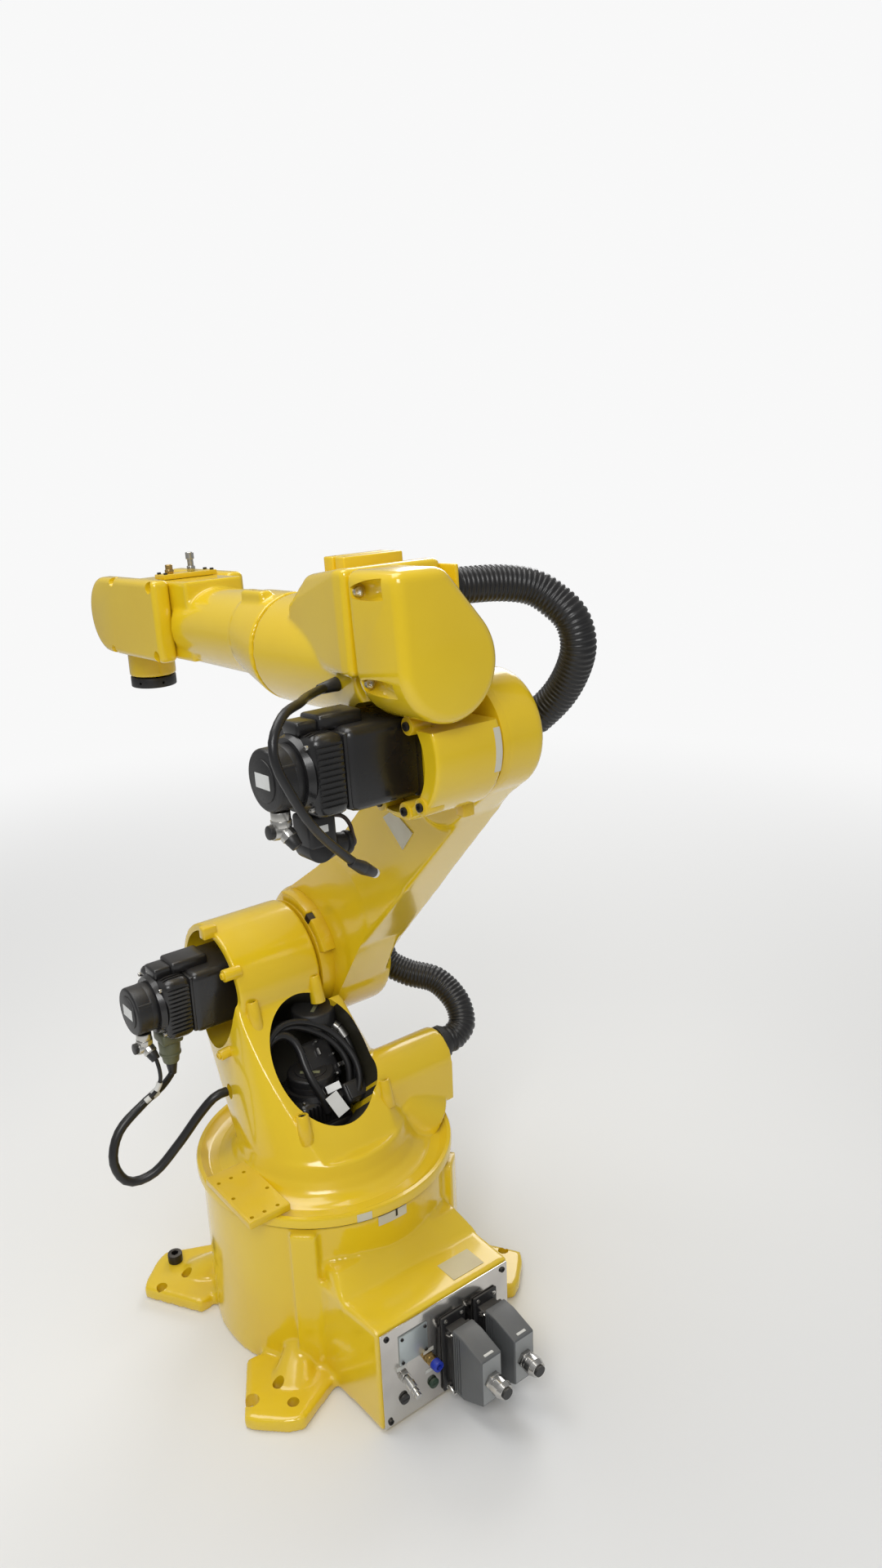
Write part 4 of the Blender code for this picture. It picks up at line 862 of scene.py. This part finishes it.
cover = moved(rod("Z", 0, 0.03, 0.0365), Matrix.Translation((0.07, -0.036, 0.452)))
made_piece(rounded(cover, 0.004, 3), "window_round_cover", "turret", CAP_BLACK)
strip = moved(box_piece((-0.015, -0.003, 0), (0.015, 0.003, 0.0004)),
              Matrix.Translation((0.064, -0.036, 0.482)) @ Matrix.Rotation(2.3, 4, "Z"))
made_piece(strip, "window_cover_bare_label", "turret", LABEL_OLIVE)
elbow_metal = [round_piece((0.054, -0.058, -0.04), (0.04, -0.066, -0.038), 0.0085, sides=10),
               round_piece((0.041, -0.066, -0.038), (0.022, -0.071, -0.04), 0.0075, 0.0085, sides=32)]
terminals = [rod("Z", -0.054, -0.046, 0.0022, at=(x, y), sides=16)
             for x, y in ((0.035, -0.024), (0.006, -0.044), (-0.025, -0.056), (-0.026, -0.036),
                          (-0.023, -0.024))]
clips = [box_piece((0.012, -0.0235, -0.052), (0.024, -0.0195, -0.047)),
         box_piece((-0.018, -0.06, -0.052), (-0.011, -0.044, -0.047))]
made_piece(moved(rounded(joined(*elbow_metal, *terminals, *clips), 0.0006, 1), WINDOW),
           "window_metal_parts", "turret", BRIGHT_ZINC)
block = soft_box((-0.03, -0.05, -0.075), (0.04, 0.004, -0.054), 0.006, 3)
made_piece(moved(block, WINDOW), "window_terminal_block", "turret", CAP_BLACK)


# Motor plugs and leads
# Under each motor hang a ribbed power plug and a metal elbow connector. Their cables run into one
# black sheathed lead that loops outside and goes back into the casting, or ends in a boot.
OLIVE_PLASTIC = finish_of("olive_moulded_plastic", (0.13, 0.14, 0.08), (0.1, 0.105, 0.062),
                          0.46, variation=0.6, dust=0.12, patch_scale=30.0, grain_scale=700.0,
                          bump=0.2, slot="olive_plug")
SLEEVE_WHITE = finish_of("blank_white_sleeve", (0.7, 0.7, 0.67), (0.58, 0.57, 0.53), 0.48,
                         patch_scale=60.0)


def ribbed_plug(middle, top, drop):
    """Add a power plug of three stages that hangs under a motor."""
    x, y = middle
    head = soft_box((x - 0.0195, y - 0.018, top - 0.019), (x + 0.0195, y + 0.018, top), 0.0045, 3)
    waist = rounded(rod("Z", top - 0.0405, top - 0.0185, 0.0165, 0.0178, at=(x, y), sides=40), 0.0018)
    lip = rounded(rod("Z", top - 0.0425, top - 0.038, 0.0176, at=(x, y), sides=40), 0.0012)
    nose = rounded(rod("Z", top - drop, top - 0.0415, 0.0128, 0.015, at=(x, y), sides=40), 0.0018)
    return joined(head, waist, lip, nose)


def elbow_connector(shoulder):
    """Add a metal elbow connector under an encoder cap, with its black end cap and gland."""
    y = shoulder + 0.017
    stub = rod("Z", -0.0402, -0.052, 0.012, at=(0, y), sides=36)
    nut = rod("Z", -0.051, -0.0592, 0.0136, at=(0, y), sides=8)
    knee = round_piece((0, y + 0.0135, -0.0638), (0, y - 0.009, -0.0658), 0.0104, sides=36)
    drop = rod("Z", -0.058, -0.068, 0.0112, at=(0, y), sides=36)
    ring = round_piece((-0.004, y - 0.002, -0.066), (-0.0105, y - 0.0045, -0.0735), 0.0108, sides=10)
    metal = rounded(joined(stub, nut, knee, drop, ring), 0.0008)
    cap = round_piece((0, y + 0.0125, -0.0639), (0, y + 0.019, -0.0634), 0.0088, sides=32)
    gland = round_piece((-0.0095, y - 0.004, -0.0722), (-0.019, y - 0.008, -0.0836), 0.0096,
                        0.0072, sides=32)
    return metal, rounded(joined(cap, gland), 0.001)


for title, body_name, place, shoulder, across in (
        ("j2", "turret", J2_MOTOR, J2_SHOULDER, -0.004), ("j3", "elbow", J3_MOTOR, J3_SHOULDER, 0.0)):
    metal, plastic = elbow_connector(shoulder)
    place = place @ Matrix.Translation((across, 0.0, 0.0))
    made_piece(moved(metal, place), f"{title}_metal_elbow", body_name, BRIGHT_ZINC,
               f"{title}_encoder_plug", slot="black_paint" if title == "j2" else "bright_steel")
    made_piece(moved(plastic, place), f"{title}_elbow_gland", body_name, PLUG_BLACK)
made_piece(ribbed_plug((0.16, 0.18), 0.4826, 0.0572), "j2_ribbed_plug", "turret", OLIVE_PLASTIC,
           "j2_motor_plug", angle=30)

tower = soft_box((0.0135, 0.1215, -0.1), (0.0545, 0.1605, -0.0586), 0.005, 3)
knee = rounded(wrapped(rod("X", 0.017, 0.051, 0.018, at=(0.143, -0.101), sides=40),
                       round_piece((0.034, 0.13, -0.1035), (0.034, 0.118, -0.105), 0.015, sides=40)),
               0.0022)
throat = rounded(round_piece((0.034, 0.119, -0.1048), (0.034, 0.099, -0.1075), 0.014, 0.0132, sides=40),
                 0.0014)
rim = rounded(round_piece((0.034, 0.101, -0.1072), (0.034, 0.0945, -0.1081), 0.015, sides=40), 0.0012)
joint_piece(joined(tower, knee, throat, rim), "j3_elbow_plug", "elbow", CAP_BLACK, "j3_motor_plug",
            angle=30)
tag = box_piece((0.0131, 0.134, -0.08), (0.0136, 0.154, -0.071))
joint_piece(tag, "j3_plug_bare_tag", "elbow", BARE_LABEL)

LEAD_RADIUS, THIN_RADIUS = 0.0075, 0.0056
J2_LEAD = ((0.16, 0.18, 0.4242), (0.16, 0.18, 0.406), (0.148, 0.206, 0.394),
           (0.137, 0.243, 0.385), (0.13, 0.29, 0.358), (0.122, 0.308, 0.315),
           (0.115, 0.292, 0.276), (0.107, 0.252, 0.277), (0.1, 0.209, 0.314),
           (0.092, 0.172, 0.356), (0.084, 0.147, 0.381), (0.083, 0.1255, 0.383))
J3_LEAD = ((0.06, 0.0754, 0.085), (0.058, 0.097, 0.083), (0.034, 0.134, 0.082),
           (0.001, 0.163, 0.084), (-0.024, 0.2, 0.08), (-0.038, 0.224, 0.058),
           (-0.043, 0.226, 0.03), (-0.045, 0.214, -0.002), (-0.043, 0.195, -0.038),
           (-0.031, 0.167, -0.072), (-0.02, 0.136, -0.102), (-0.014, 0.112, -0.124),
           (-0.008, 0.09, -0.139))


def sleeve(path, first, last, radius):
    """Add a marker sleeve round a cable between two of its points."""
    return rounded(cable(path[first:last], radius), 0.0004, 1)


path = smooth_route(J2_LEAD, 38)
grow = [0.005 + 0.0025 * min(1.0, max(0.0, (number - 1) / 9)) for number in range(len(path))]
lead = swept(path, grow)
boot = rod("Z", 0.4256, 0.403, 0.0098, 0.0062, at=(0.16, 0.18), sides=32)
made_piece(rounded(boot, 0.0008), "j2_lead_boot", "turret", PLUG_BLACK)
made_piece(lead, "j2_looped_lead", "turret", RUBBER, "j2_motor_lead")
thin_path = smooth_route(((0.137, 0.2137, 0.4514), (0.131, 0.213, 0.436), (0.1285, 0.215, 0.418),
                          (0.13, 0.226, 0.4), (0.133, 0.248, 0.386), (0.13, 0.27, 0.374)), 24)
made_piece(cable(thin_path, 0.0032), "j2_encoder_cable", "turret", RUBBER)
made_piece(joined(sleeve(thin_path, 8, 12, 0.0046), sleeve(path, 5, 7, 0.007),
                  sleeve(thin_path, 14, 17, 0.0046)), "j2_cable_sleeves", "turret", SLEEVE_WHITE)

path = smooth_route([J3 @ Vector(point) for point in J3_LEAD], 40)
lead = cable(path, THIN_RADIUS)
made_piece(lead, "j3_looped_lead", "elbow", RUBBER, "j3_motor_lead")
end = J3 @ Vector(J3_LEAD[-1])
way = (J3 @ Vector(J3_LEAD[-1]) - J3 @ Vector(J3_LEAD[-2])).normalized()
tail_boot = [round_piece(end - way * 0.045, end - way * 0.02, 0.006, 0.0088, sides=36),
             round_piece(end - way * 0.0205, end + way * 0.003, 0.0088, 0.0062, sides=36)]
made_piece(rounded(joined(*tail_boot), 0.001), "j3_lead_boot", "elbow", PLUG_BLACK)
tip = round_piece(end + way * 0.0025, end + way * 0.0075, 0.0064, 0.0058, sides=32)
tip_hole = round_piece(end + way * 0.004, end + way * 0.01, 0.0044, sides=24)
made_piece(carved(rounded(tip, 0.0008), tip_hole), "j3_lead_tip", "elbow", BARE_LABEL)
collar = round_piece(path[0] + (path[0] - path[1]).normalized() * 0.002,
                     path[0] + (path[1] - path[0]).normalized() * 0.026, 0.0094, 0.0062, sides=36)
made_piece(rounded(collar, 0.001), "j3_lead_collar", "elbow", PLUG_BLACK)

THIN_BROWN = finish_of("thin_brown_cable", (0.04, 0.02, 0.015), (0.055, 0.03, 0.022), 0.42,
                       patch_scale=40.0)
loop = [J3 @ Vector(point) for point in (
    (0.034, 0.1225, -0.07), (0.034, 0.112, -0.069), (0.034, 0.099, -0.074), (0.034, 0.0905, -0.086),
    (0.034, 0.0875, -0.1), (0.036, 0.084, -0.112), (0.04, 0.088, -0.116), (0.042, 0.098, -0.108),
    (0.042, 0.111, -0.098), (0.042, 0.1225, -0.094))]
loop_path = smooth_route(loop, 34)
made_piece(cable(loop_path, 0.0026), "j3_thin_cable_loop", "elbow", THIN_BROWN)


# Lower arm
# The long arm is one casting that tapers from the wide hub at the second axis to the head at the
# third. A machined face shows at each hub, and curved stop pads stand by the lower one.
beam = wrapped(rod("Y", -0.185, -0.08, 0.079, sides=72),
               rod("Y", -0.14, -0.08, 0.069, at=(0, REACH), sides=72))
foot = rounded(rod("Y", -0.1855, -0.08, 0.1148, sides=96), 0.008, 3)
head_end = rounded(rod("Y", -0.1408, -0.07, 0.0808, at=(0, REACH), sides=96), 0.01, 3)
flank = wrapped(rod("Y", -0.17, -0.072, 0.103, at=(0, 0.03), sides=96),
                rod("Y", -0.16, -0.072, 0.0775, at=(0, 0.16), sides=96))
shoulder_end = wrapped(rod("Y", -0.134, -0.072, 0.07, at=(0, REACH - 0.1), sides=96),
                       rod("Y", -0.134, -0.072, 0.079, at=(0, REACH - 0.01), sides=96))
arm = cast_skin(joined(beam, foot, head_end, flank, shoulder_end), 0.0032, 10)
near_cut = box_piece((-0.3, -0.0796, -0.3), (0.3, 0.1, 0.3))
carved(arm, near_cut)
joint_piece(arm, "lower_arm_body", "lower_arm", PAINT, "lower_arm_casting", angle=40)

hub = rounded(rod("Y", -0.086, -0.0553, 0.0975, sides=96), 0.0014)
seat = rod("Y", -0.06, -0.0503, 0.049, sides=64)
upper_hub = rounded(rod("Y", -0.09, -0.0693, 0.0804, at=(0, REACH), sides=96), 0.0014)
upper_seat = rod("Y", -0.075, -0.0643, 0.04, at=(0, REACH), sides=64)
joint_piece(joined(hub, seat, upper_hub, upper_seat), "arm_machined_hubs", "lower_arm", PAINT_EDGE)

UPRIGHT = turned(90, "X")
pads = [rounded(bent_strip(0.096, middle, half, low, high, 0.017), 0.0016)
        for middle, half, low, high in ((55, 21, 0.057, 0.08), (98, 15, 0.057, 0.08),
                                        (79.5, 4, 0.068, 0.08))]
joint_piece(moved(joined(*pads), UPRIGHT), "arm_stop_pads", "lower_arm", PAINT_EDGE)
# A black strip low in the gap between the pads is painted shade for the shadowed pocket.
gap = moved(moved(bent_strip(0.0985, 79.5, 3.4, 0.056, 0.07, 0.012), UPRIGHT), J2)
made_piece(rounded(gap, 0.0005, 1), "arm_stop_painted_shade_pocket", "lower_arm", BLACK_OXIDE_AND_SHADE)
plate = flat_piece([(0.03, 0.406), (0.024, 0.437), (-0.025, 0.4515), (-0.029, 0.4106)], 0.078, 0.0802)
joint_piece(moved(plate, UPRIGHT), "arm_bare_label", "lower_arm", BASE_LABEL)

# Hose clamps on the arm
# The lower hose ends in a yellow cast clamp screwed on the arm's outer face, and the upper hose
# in a black swivel fitting on its head. The lower hose's other end sits in a fitting on the turret.
NOZZLE = 0.0288
clamp = soft_box((-0.0298, -0.2438, -0.0238), (0.0298, -0.1866, 0.0378), 0.007, 4)
groove = box_piece((-0.04, -0.217, -0.04), (0.04, -0.215, 0.05))
strap = carved(clamp, groove)
joint_piece(strap, "lower_hose_yellow_clamp", "lower_arm", PAINT_EDGE, "lower_hose_clamp")
clamp_screws = [cap_screw((x, -0.2436, z), (0, -1, 0), 0.0045, 0.0045)
                for x in (-0.019, 0.019) for z in (-0.014, 0.028)]
joint_piece(joined(*clamp_screws), "lower_clamp_screws", "lower_arm", BLACK_OXIDE_AND_SHADE)

nozzle = rounded(rod("Y", -0.1474, -0.1552, NOZZLE, at=(0, REACH), sides=56), 0.0015)
nut = rounded(rod("Y", -0.1548, -0.164, NOZZLE, at=(0, REACH), sides=12), 0.001)
collar = rounded(rod("Y", -0.1636, -0.1732, 0.0275, 0.0262, at=(0, REACH), sides=56), 0.0015)
joint_piece(joined(nozzle, nut, collar), "upper_hose_arm_fitting", "lower_arm", CAP_BLACK,
            "upper_hose_clamp")

nozzle = rounded(rod("Y", -0.2154, -0.22, NOZZLE, at=(-0.028, 0.385), sides=56), 0.0012)
nut = rounded(rod("Y", -0.2196, -0.2285, NOZZLE, at=(-0.028, 0.385), sides=12), 0.001)
made_piece(joined(nozzle, nut), "lower_hose_box_fitting", "turret", CAP_BLACK, "lower_hose_nozzle")


# Elbow casing
# The elbow turns on the third axis. Its barrel, the round housing of the fourth axis and the
# faceted casing over them are one casting, closed at the rear by a deep bolted cover.
HUB_FACE, HUB_ROOM = -0.0637, 0.0862
barrel = rounded(rod("Y", -0.064, 0.038, 0.0858, sides=96), 0.0016)
housing = rod("X", 0.02, 0.265, 0.0757, at=(0, 0.103), sides=96)
crest = box_piece((-0.001, -0.052, 0.1), (0.019, 0.092, 0.227))
slope = box_piece((0.11, -0.052, 0.1), (0.122, 0.066, 0.215))
nose = box_piece((0.19, -0.04, 0.12), (0.196, 0.055, 0.17))
case = rounded(wrapped(crest, slope, nose), 0.012, 3, angle=20)
neck = wrapped(rod("Y", -0.05, 0.03, 0.072, at=(0.005, 0.05)),
               box_piece((-0.001, -0.05, 0.11), (0.09, 0.066, 0.15)))
elbow = cast_skin(joined(barrel, housing, case, neck), 0.0027, 6)
arm_room = rod("Y", -0.3, HUB_FACE, HUB_ROOM, sides=96)
rear_room = box_piece((-0.4, -0.4, 0.0342), (-0.0012, 0.4, 0.4))
end_room = box_piece((0.2648, -0.3, -0.1), (0.6, 0.3, 0.4))
motor_hole = joined(rod("Y", 0.008, 0.08, 0.0715, at=(0.0113, -0.006), sides=72),
                    box_piece((-0.023, 0.0085, -0.063), (0.091, 0.2, 0.051)))
applied(motor_hole, "REMESH", mode="VOXEL", voxel_size=0.003)
carved(elbow, arm_room, rear_room, end_room, motor_hole)
joint_piece(elbow, "elbow_cast_casing", "elbow", PAINT, "elbow_casting", angle=40)

pads = []
for low, high in ((0.07, 0.091), (0.096, 0.117)):
    pad = soft_box((low, -0.047, 0.2), (high, 0.042, 0.2349), 0.0022, 3)
    tapped = [rod("Z", 0.22, 0.24, 0.003, at=((low + high) / 2, y), sides=18)
              for y in (-0.037, 0.032)]
    pads.append(carved(pad, *tapped))
joint_piece(joined(*pads), "elbow_top_pads", "elbow", PAINT_EDGE)

ears, ear_screws = [], []
for angle, far in ((131, 0.0503), (-129, 0.0775), (-102, 0.0735), (-62, 0.0795)):
    x, z = round_place(far, angle)
    ear = rounded(rod("Y", 0.012, 0.0405, 0.0118, at=(x, z), sides=28), 0.0015)
    ears.append(ear)
    ear_screws.append(cap_screw((x, 0.04, z), (0, 1, 0), 0.0058, 0.004))
tab = soft_box((-0.033, -0.056, -0.096), (-0.017, -0.038, -0.076), 0.002, 3)
joint_piece(joined(*ears, tab), "barrel_screw_bosses", "elbow", PAINT_EDGE)
joint_piece(joined(*ear_screws), "barrel_screws", "elbow", BLACK_OXIDE_AND_SHADE)
strip = moved(bent_strip(0.0857, 182, 19, 0.052, 0.062), UPRIGHT)
joint_piece(strip, "barrel_bare_label", "elbow", BASE_LABEL)

# Rear cover of the elbow
# The deep yellow cover closes the elbow's rear. It is a separate casting with a rounded crown and
# socket screws sunk in pockets along its seam.
cover = rounded(wrapped(rod("X", -0.0013, -0.1053, 0.07, at=(0.02, 0.116), sides=72),
                        box_piece((-0.1053, 0.02, 0.2), (-0.0013, 0.092, 0.227))), 0.014, 4, angle=22)
pockets, cover_screws = [], []
for y, z, out_y, out_z in ((0.084, 0.202, 0.012, 0.006), (0.079, 0.095, 0.014, -0.006),
                           (0.006, 0.056, 0.0, -0.014)):
    start, end = Vector((-0.016, y, z)), Vector((-0.076, y + out_y, z + out_z))
    pockets.append(round_piece(start, end, 0.0098, 0.013, sides=32))
    cover_screws.append(cap_screw(start, (-1, 0, 0), 0.0062, 0.0052))
hub_room = rod("Y", -0.3, HUB_FACE, HUB_ROOM, sides=96)
carved(cover, hub_room, *pockets)
joint_piece(cover, "elbow_rear_cover", "elbow", PAINT, "rear_cover", angle=40)
joint_piece(joined(*cover_screws), "rear_cover_screws", "elbow", BRIGHT_ZINC)

outlet = soft_box((-0.03, -0.056, 0.16), (0.03, -0.0505, 0.22), 0.0022, 3)
joint_piece(outlet, "upper_hose_outlet_plate", "elbow", PAINT_EDGE)

# Forearm
# The round forearm tube turns on the fourth axis in front of the seam. It is a turned and cast
# tube that ends in the fork of the wrist.
SEAM = 0.2702
root = wrapped(rod("X", SEAM, 0.274, 0.0757, at=(0, -0.013), sides=96),
               rod("X", SEAM, 0.352, 0.0638, sides=96))
long_tube = rod("X", SEAM, 0.556, 0.0638, 0.0588, sides=96)
fork_low = wrapped(rod("Y", -0.0495, 0.0495, 0.0595, at=(0.762, 0.013), sides=64),
                   box_piece((0.505, -0.0495, -0.049), (0.556, 0.0495, 0.073)))
lug = soft_box((0.29, 0.02, 0.04), (0.35, 0.04, 0.068), 0.004, 3)
tube = cast_skin(joined(root, long_tube, fork_low, lug), 0.0028, 6)
fork_cut = box_piece((0.6865, -0.046, -0.2), (1.2, 0.046, 0.2))
seam_cut = box_piece((-0.1, -0.3, -0.3), (0.2704, 0.3, 0.3))
plug_hole = rod("Z", 0.05, 0.08, 0.0042, at=(0.323, 0.03), sides=20)
carved(tube, fork_cut, seam_cut, plug_hole)
joint_piece(tube, "forearm_tube_body", "forearm", PAINT, "forearm_tube", angle=40)

# Wrist covers
# Two yellow covers close the sides of the wrist's fork. Each is a shallow moulding with rounded
# edges and four screws sunk at its rim.
x, z, radius = 0.762, 0.013, 0.063
for side, sign in (("left", 1), ("right", -1)):
    near, far = sorted((sign * 0.0503, sign * 0.08))
    shell = rounded(wrapped(rod("Y", near, far, radius, at=(x, z), sides=72),
                            box_piece((0.556, near, -0.052), (0.576, far, 0.076))), 0.009, 4, angle=25)
    notches, side_screws = [], []
    for a, b in ((0.572, 0.066), (0.572, -0.042), (0.716, 0.072), (0.742, -0.046)):
        notches.append(rod("Y", sign * 0.068, sign * 0.09, 0.0085, 0.0105, at=(a, b), sides=24))
        side_screws.append(cap_screw((a, sign * 0.0672, b), (0, sign, 0), 0.005, 0.0045))
    carved(shell, *notches)
    joint_piece(shell, f"{side}_wrist_cover", "forearm", PAINT, f"wrist_cover_{side}")
    joint_piece(joined(*side_screws), f"{side}_cover_screws", "forearm", PAINT_EDGE)

# Wrist fittings
# A small plate on the wrist carries a brass air fitting and a taller push-in fitting.
plate = soft_box((0.586, -0.048, 0.0733), (0.622, 0.044, 0.0812), 0.0014)
joint_piece(plate, "wrist_fittings_plate", "forearm", PAINT_EDGE, "fittings_plate")
plate_screws = [cap_screw((a, b, 0.081), (0, 0, 1), 0.0032, 0.003)
                for a, b in ((0.592, -0.042), (0.616, -0.042), (0.592, 0.0385), (0.616, 0.0385))]
joint_piece(joined(*plate_screws), "fittings_plate_screws", "forearm", BLACK_OXIDE_AND_SHADE)
short = joined(rod("Z", 0.0815, 0.088, 0.0079, at=(0.604, 0.026), sides=6),
               rod("Z", 0.0878, 0.0954, 0.0058, at=(0.604, 0.026), sides=28))
joint_piece(rounded(short, 0.0006, 1), "short_air_fitting", "forearm", BRASS, "short_fitting")
tall = joined(rod("Z", 0.0815, 0.09, 0.0074, at=(0.604, -0.012), sides=6),
              rod("Z", 0.0898, 0.101, 0.0048, at=(0.604, -0.012), sides=28),
              rod("Z", 0.1005, 0.1114, 0.0066, at=(0.604, -0.012), sides=28))
joint_piece(rounded(tall, 0.0006, 1), "tall_air_fitting", "forearm", BRIGHT_ZINC, "tall_fitting")

# Wrist and tool flange
# The wrist block tilts in the fork on the fifth axis. The black tool flange turns on the sixth,
# with a pilot bore, tapped holes and a dowel hole in its face.
block = joined(rod("Y", -0.0408, 0.0408, 0.0498, sides=72), rod("X", 0, 0.1008, 0.0398, sides=72))
wrist = cast_skin(block, 0.0022, 5)
pins = joined(rod("Y", -0.0456, 0.0456, 0.0198, sides=40), rod("X", 0.08, 0.1027, 0.0198, sides=40))
joint_piece(joined(wrist, pins), "wrist_turning_block", "wrist", PAINT, "wrist_housing")
flange = rounded(rod("X", -0.017, 0, 0.0389, sides=96), 0.001)
step = rod("X", -0.012, 0.002, 0.02, sides=56)
holes = [rod("X", -0.0095, 0.002, 0.003, at=round_place(0.031, 45 + 90 * n), sides=20) for n in range(4)]
dowel = rod("X", -0.008, 0.002, 0.0025, at=(0.031, 0), sides=20)
rim = [round_piece((-0.0085, *round_place(0.0345, 30 + 60 * n)),
                   (-0.0085, *round_place(0.045, 30 + 60 * n)), 0.0024, sides=16)
       for n in range(6)]
carved(flange, step, *holes, dowel, *rim)
joint_piece(flange, "black_tool_flange", "flange", CAP_BLACK, "tool_flange")
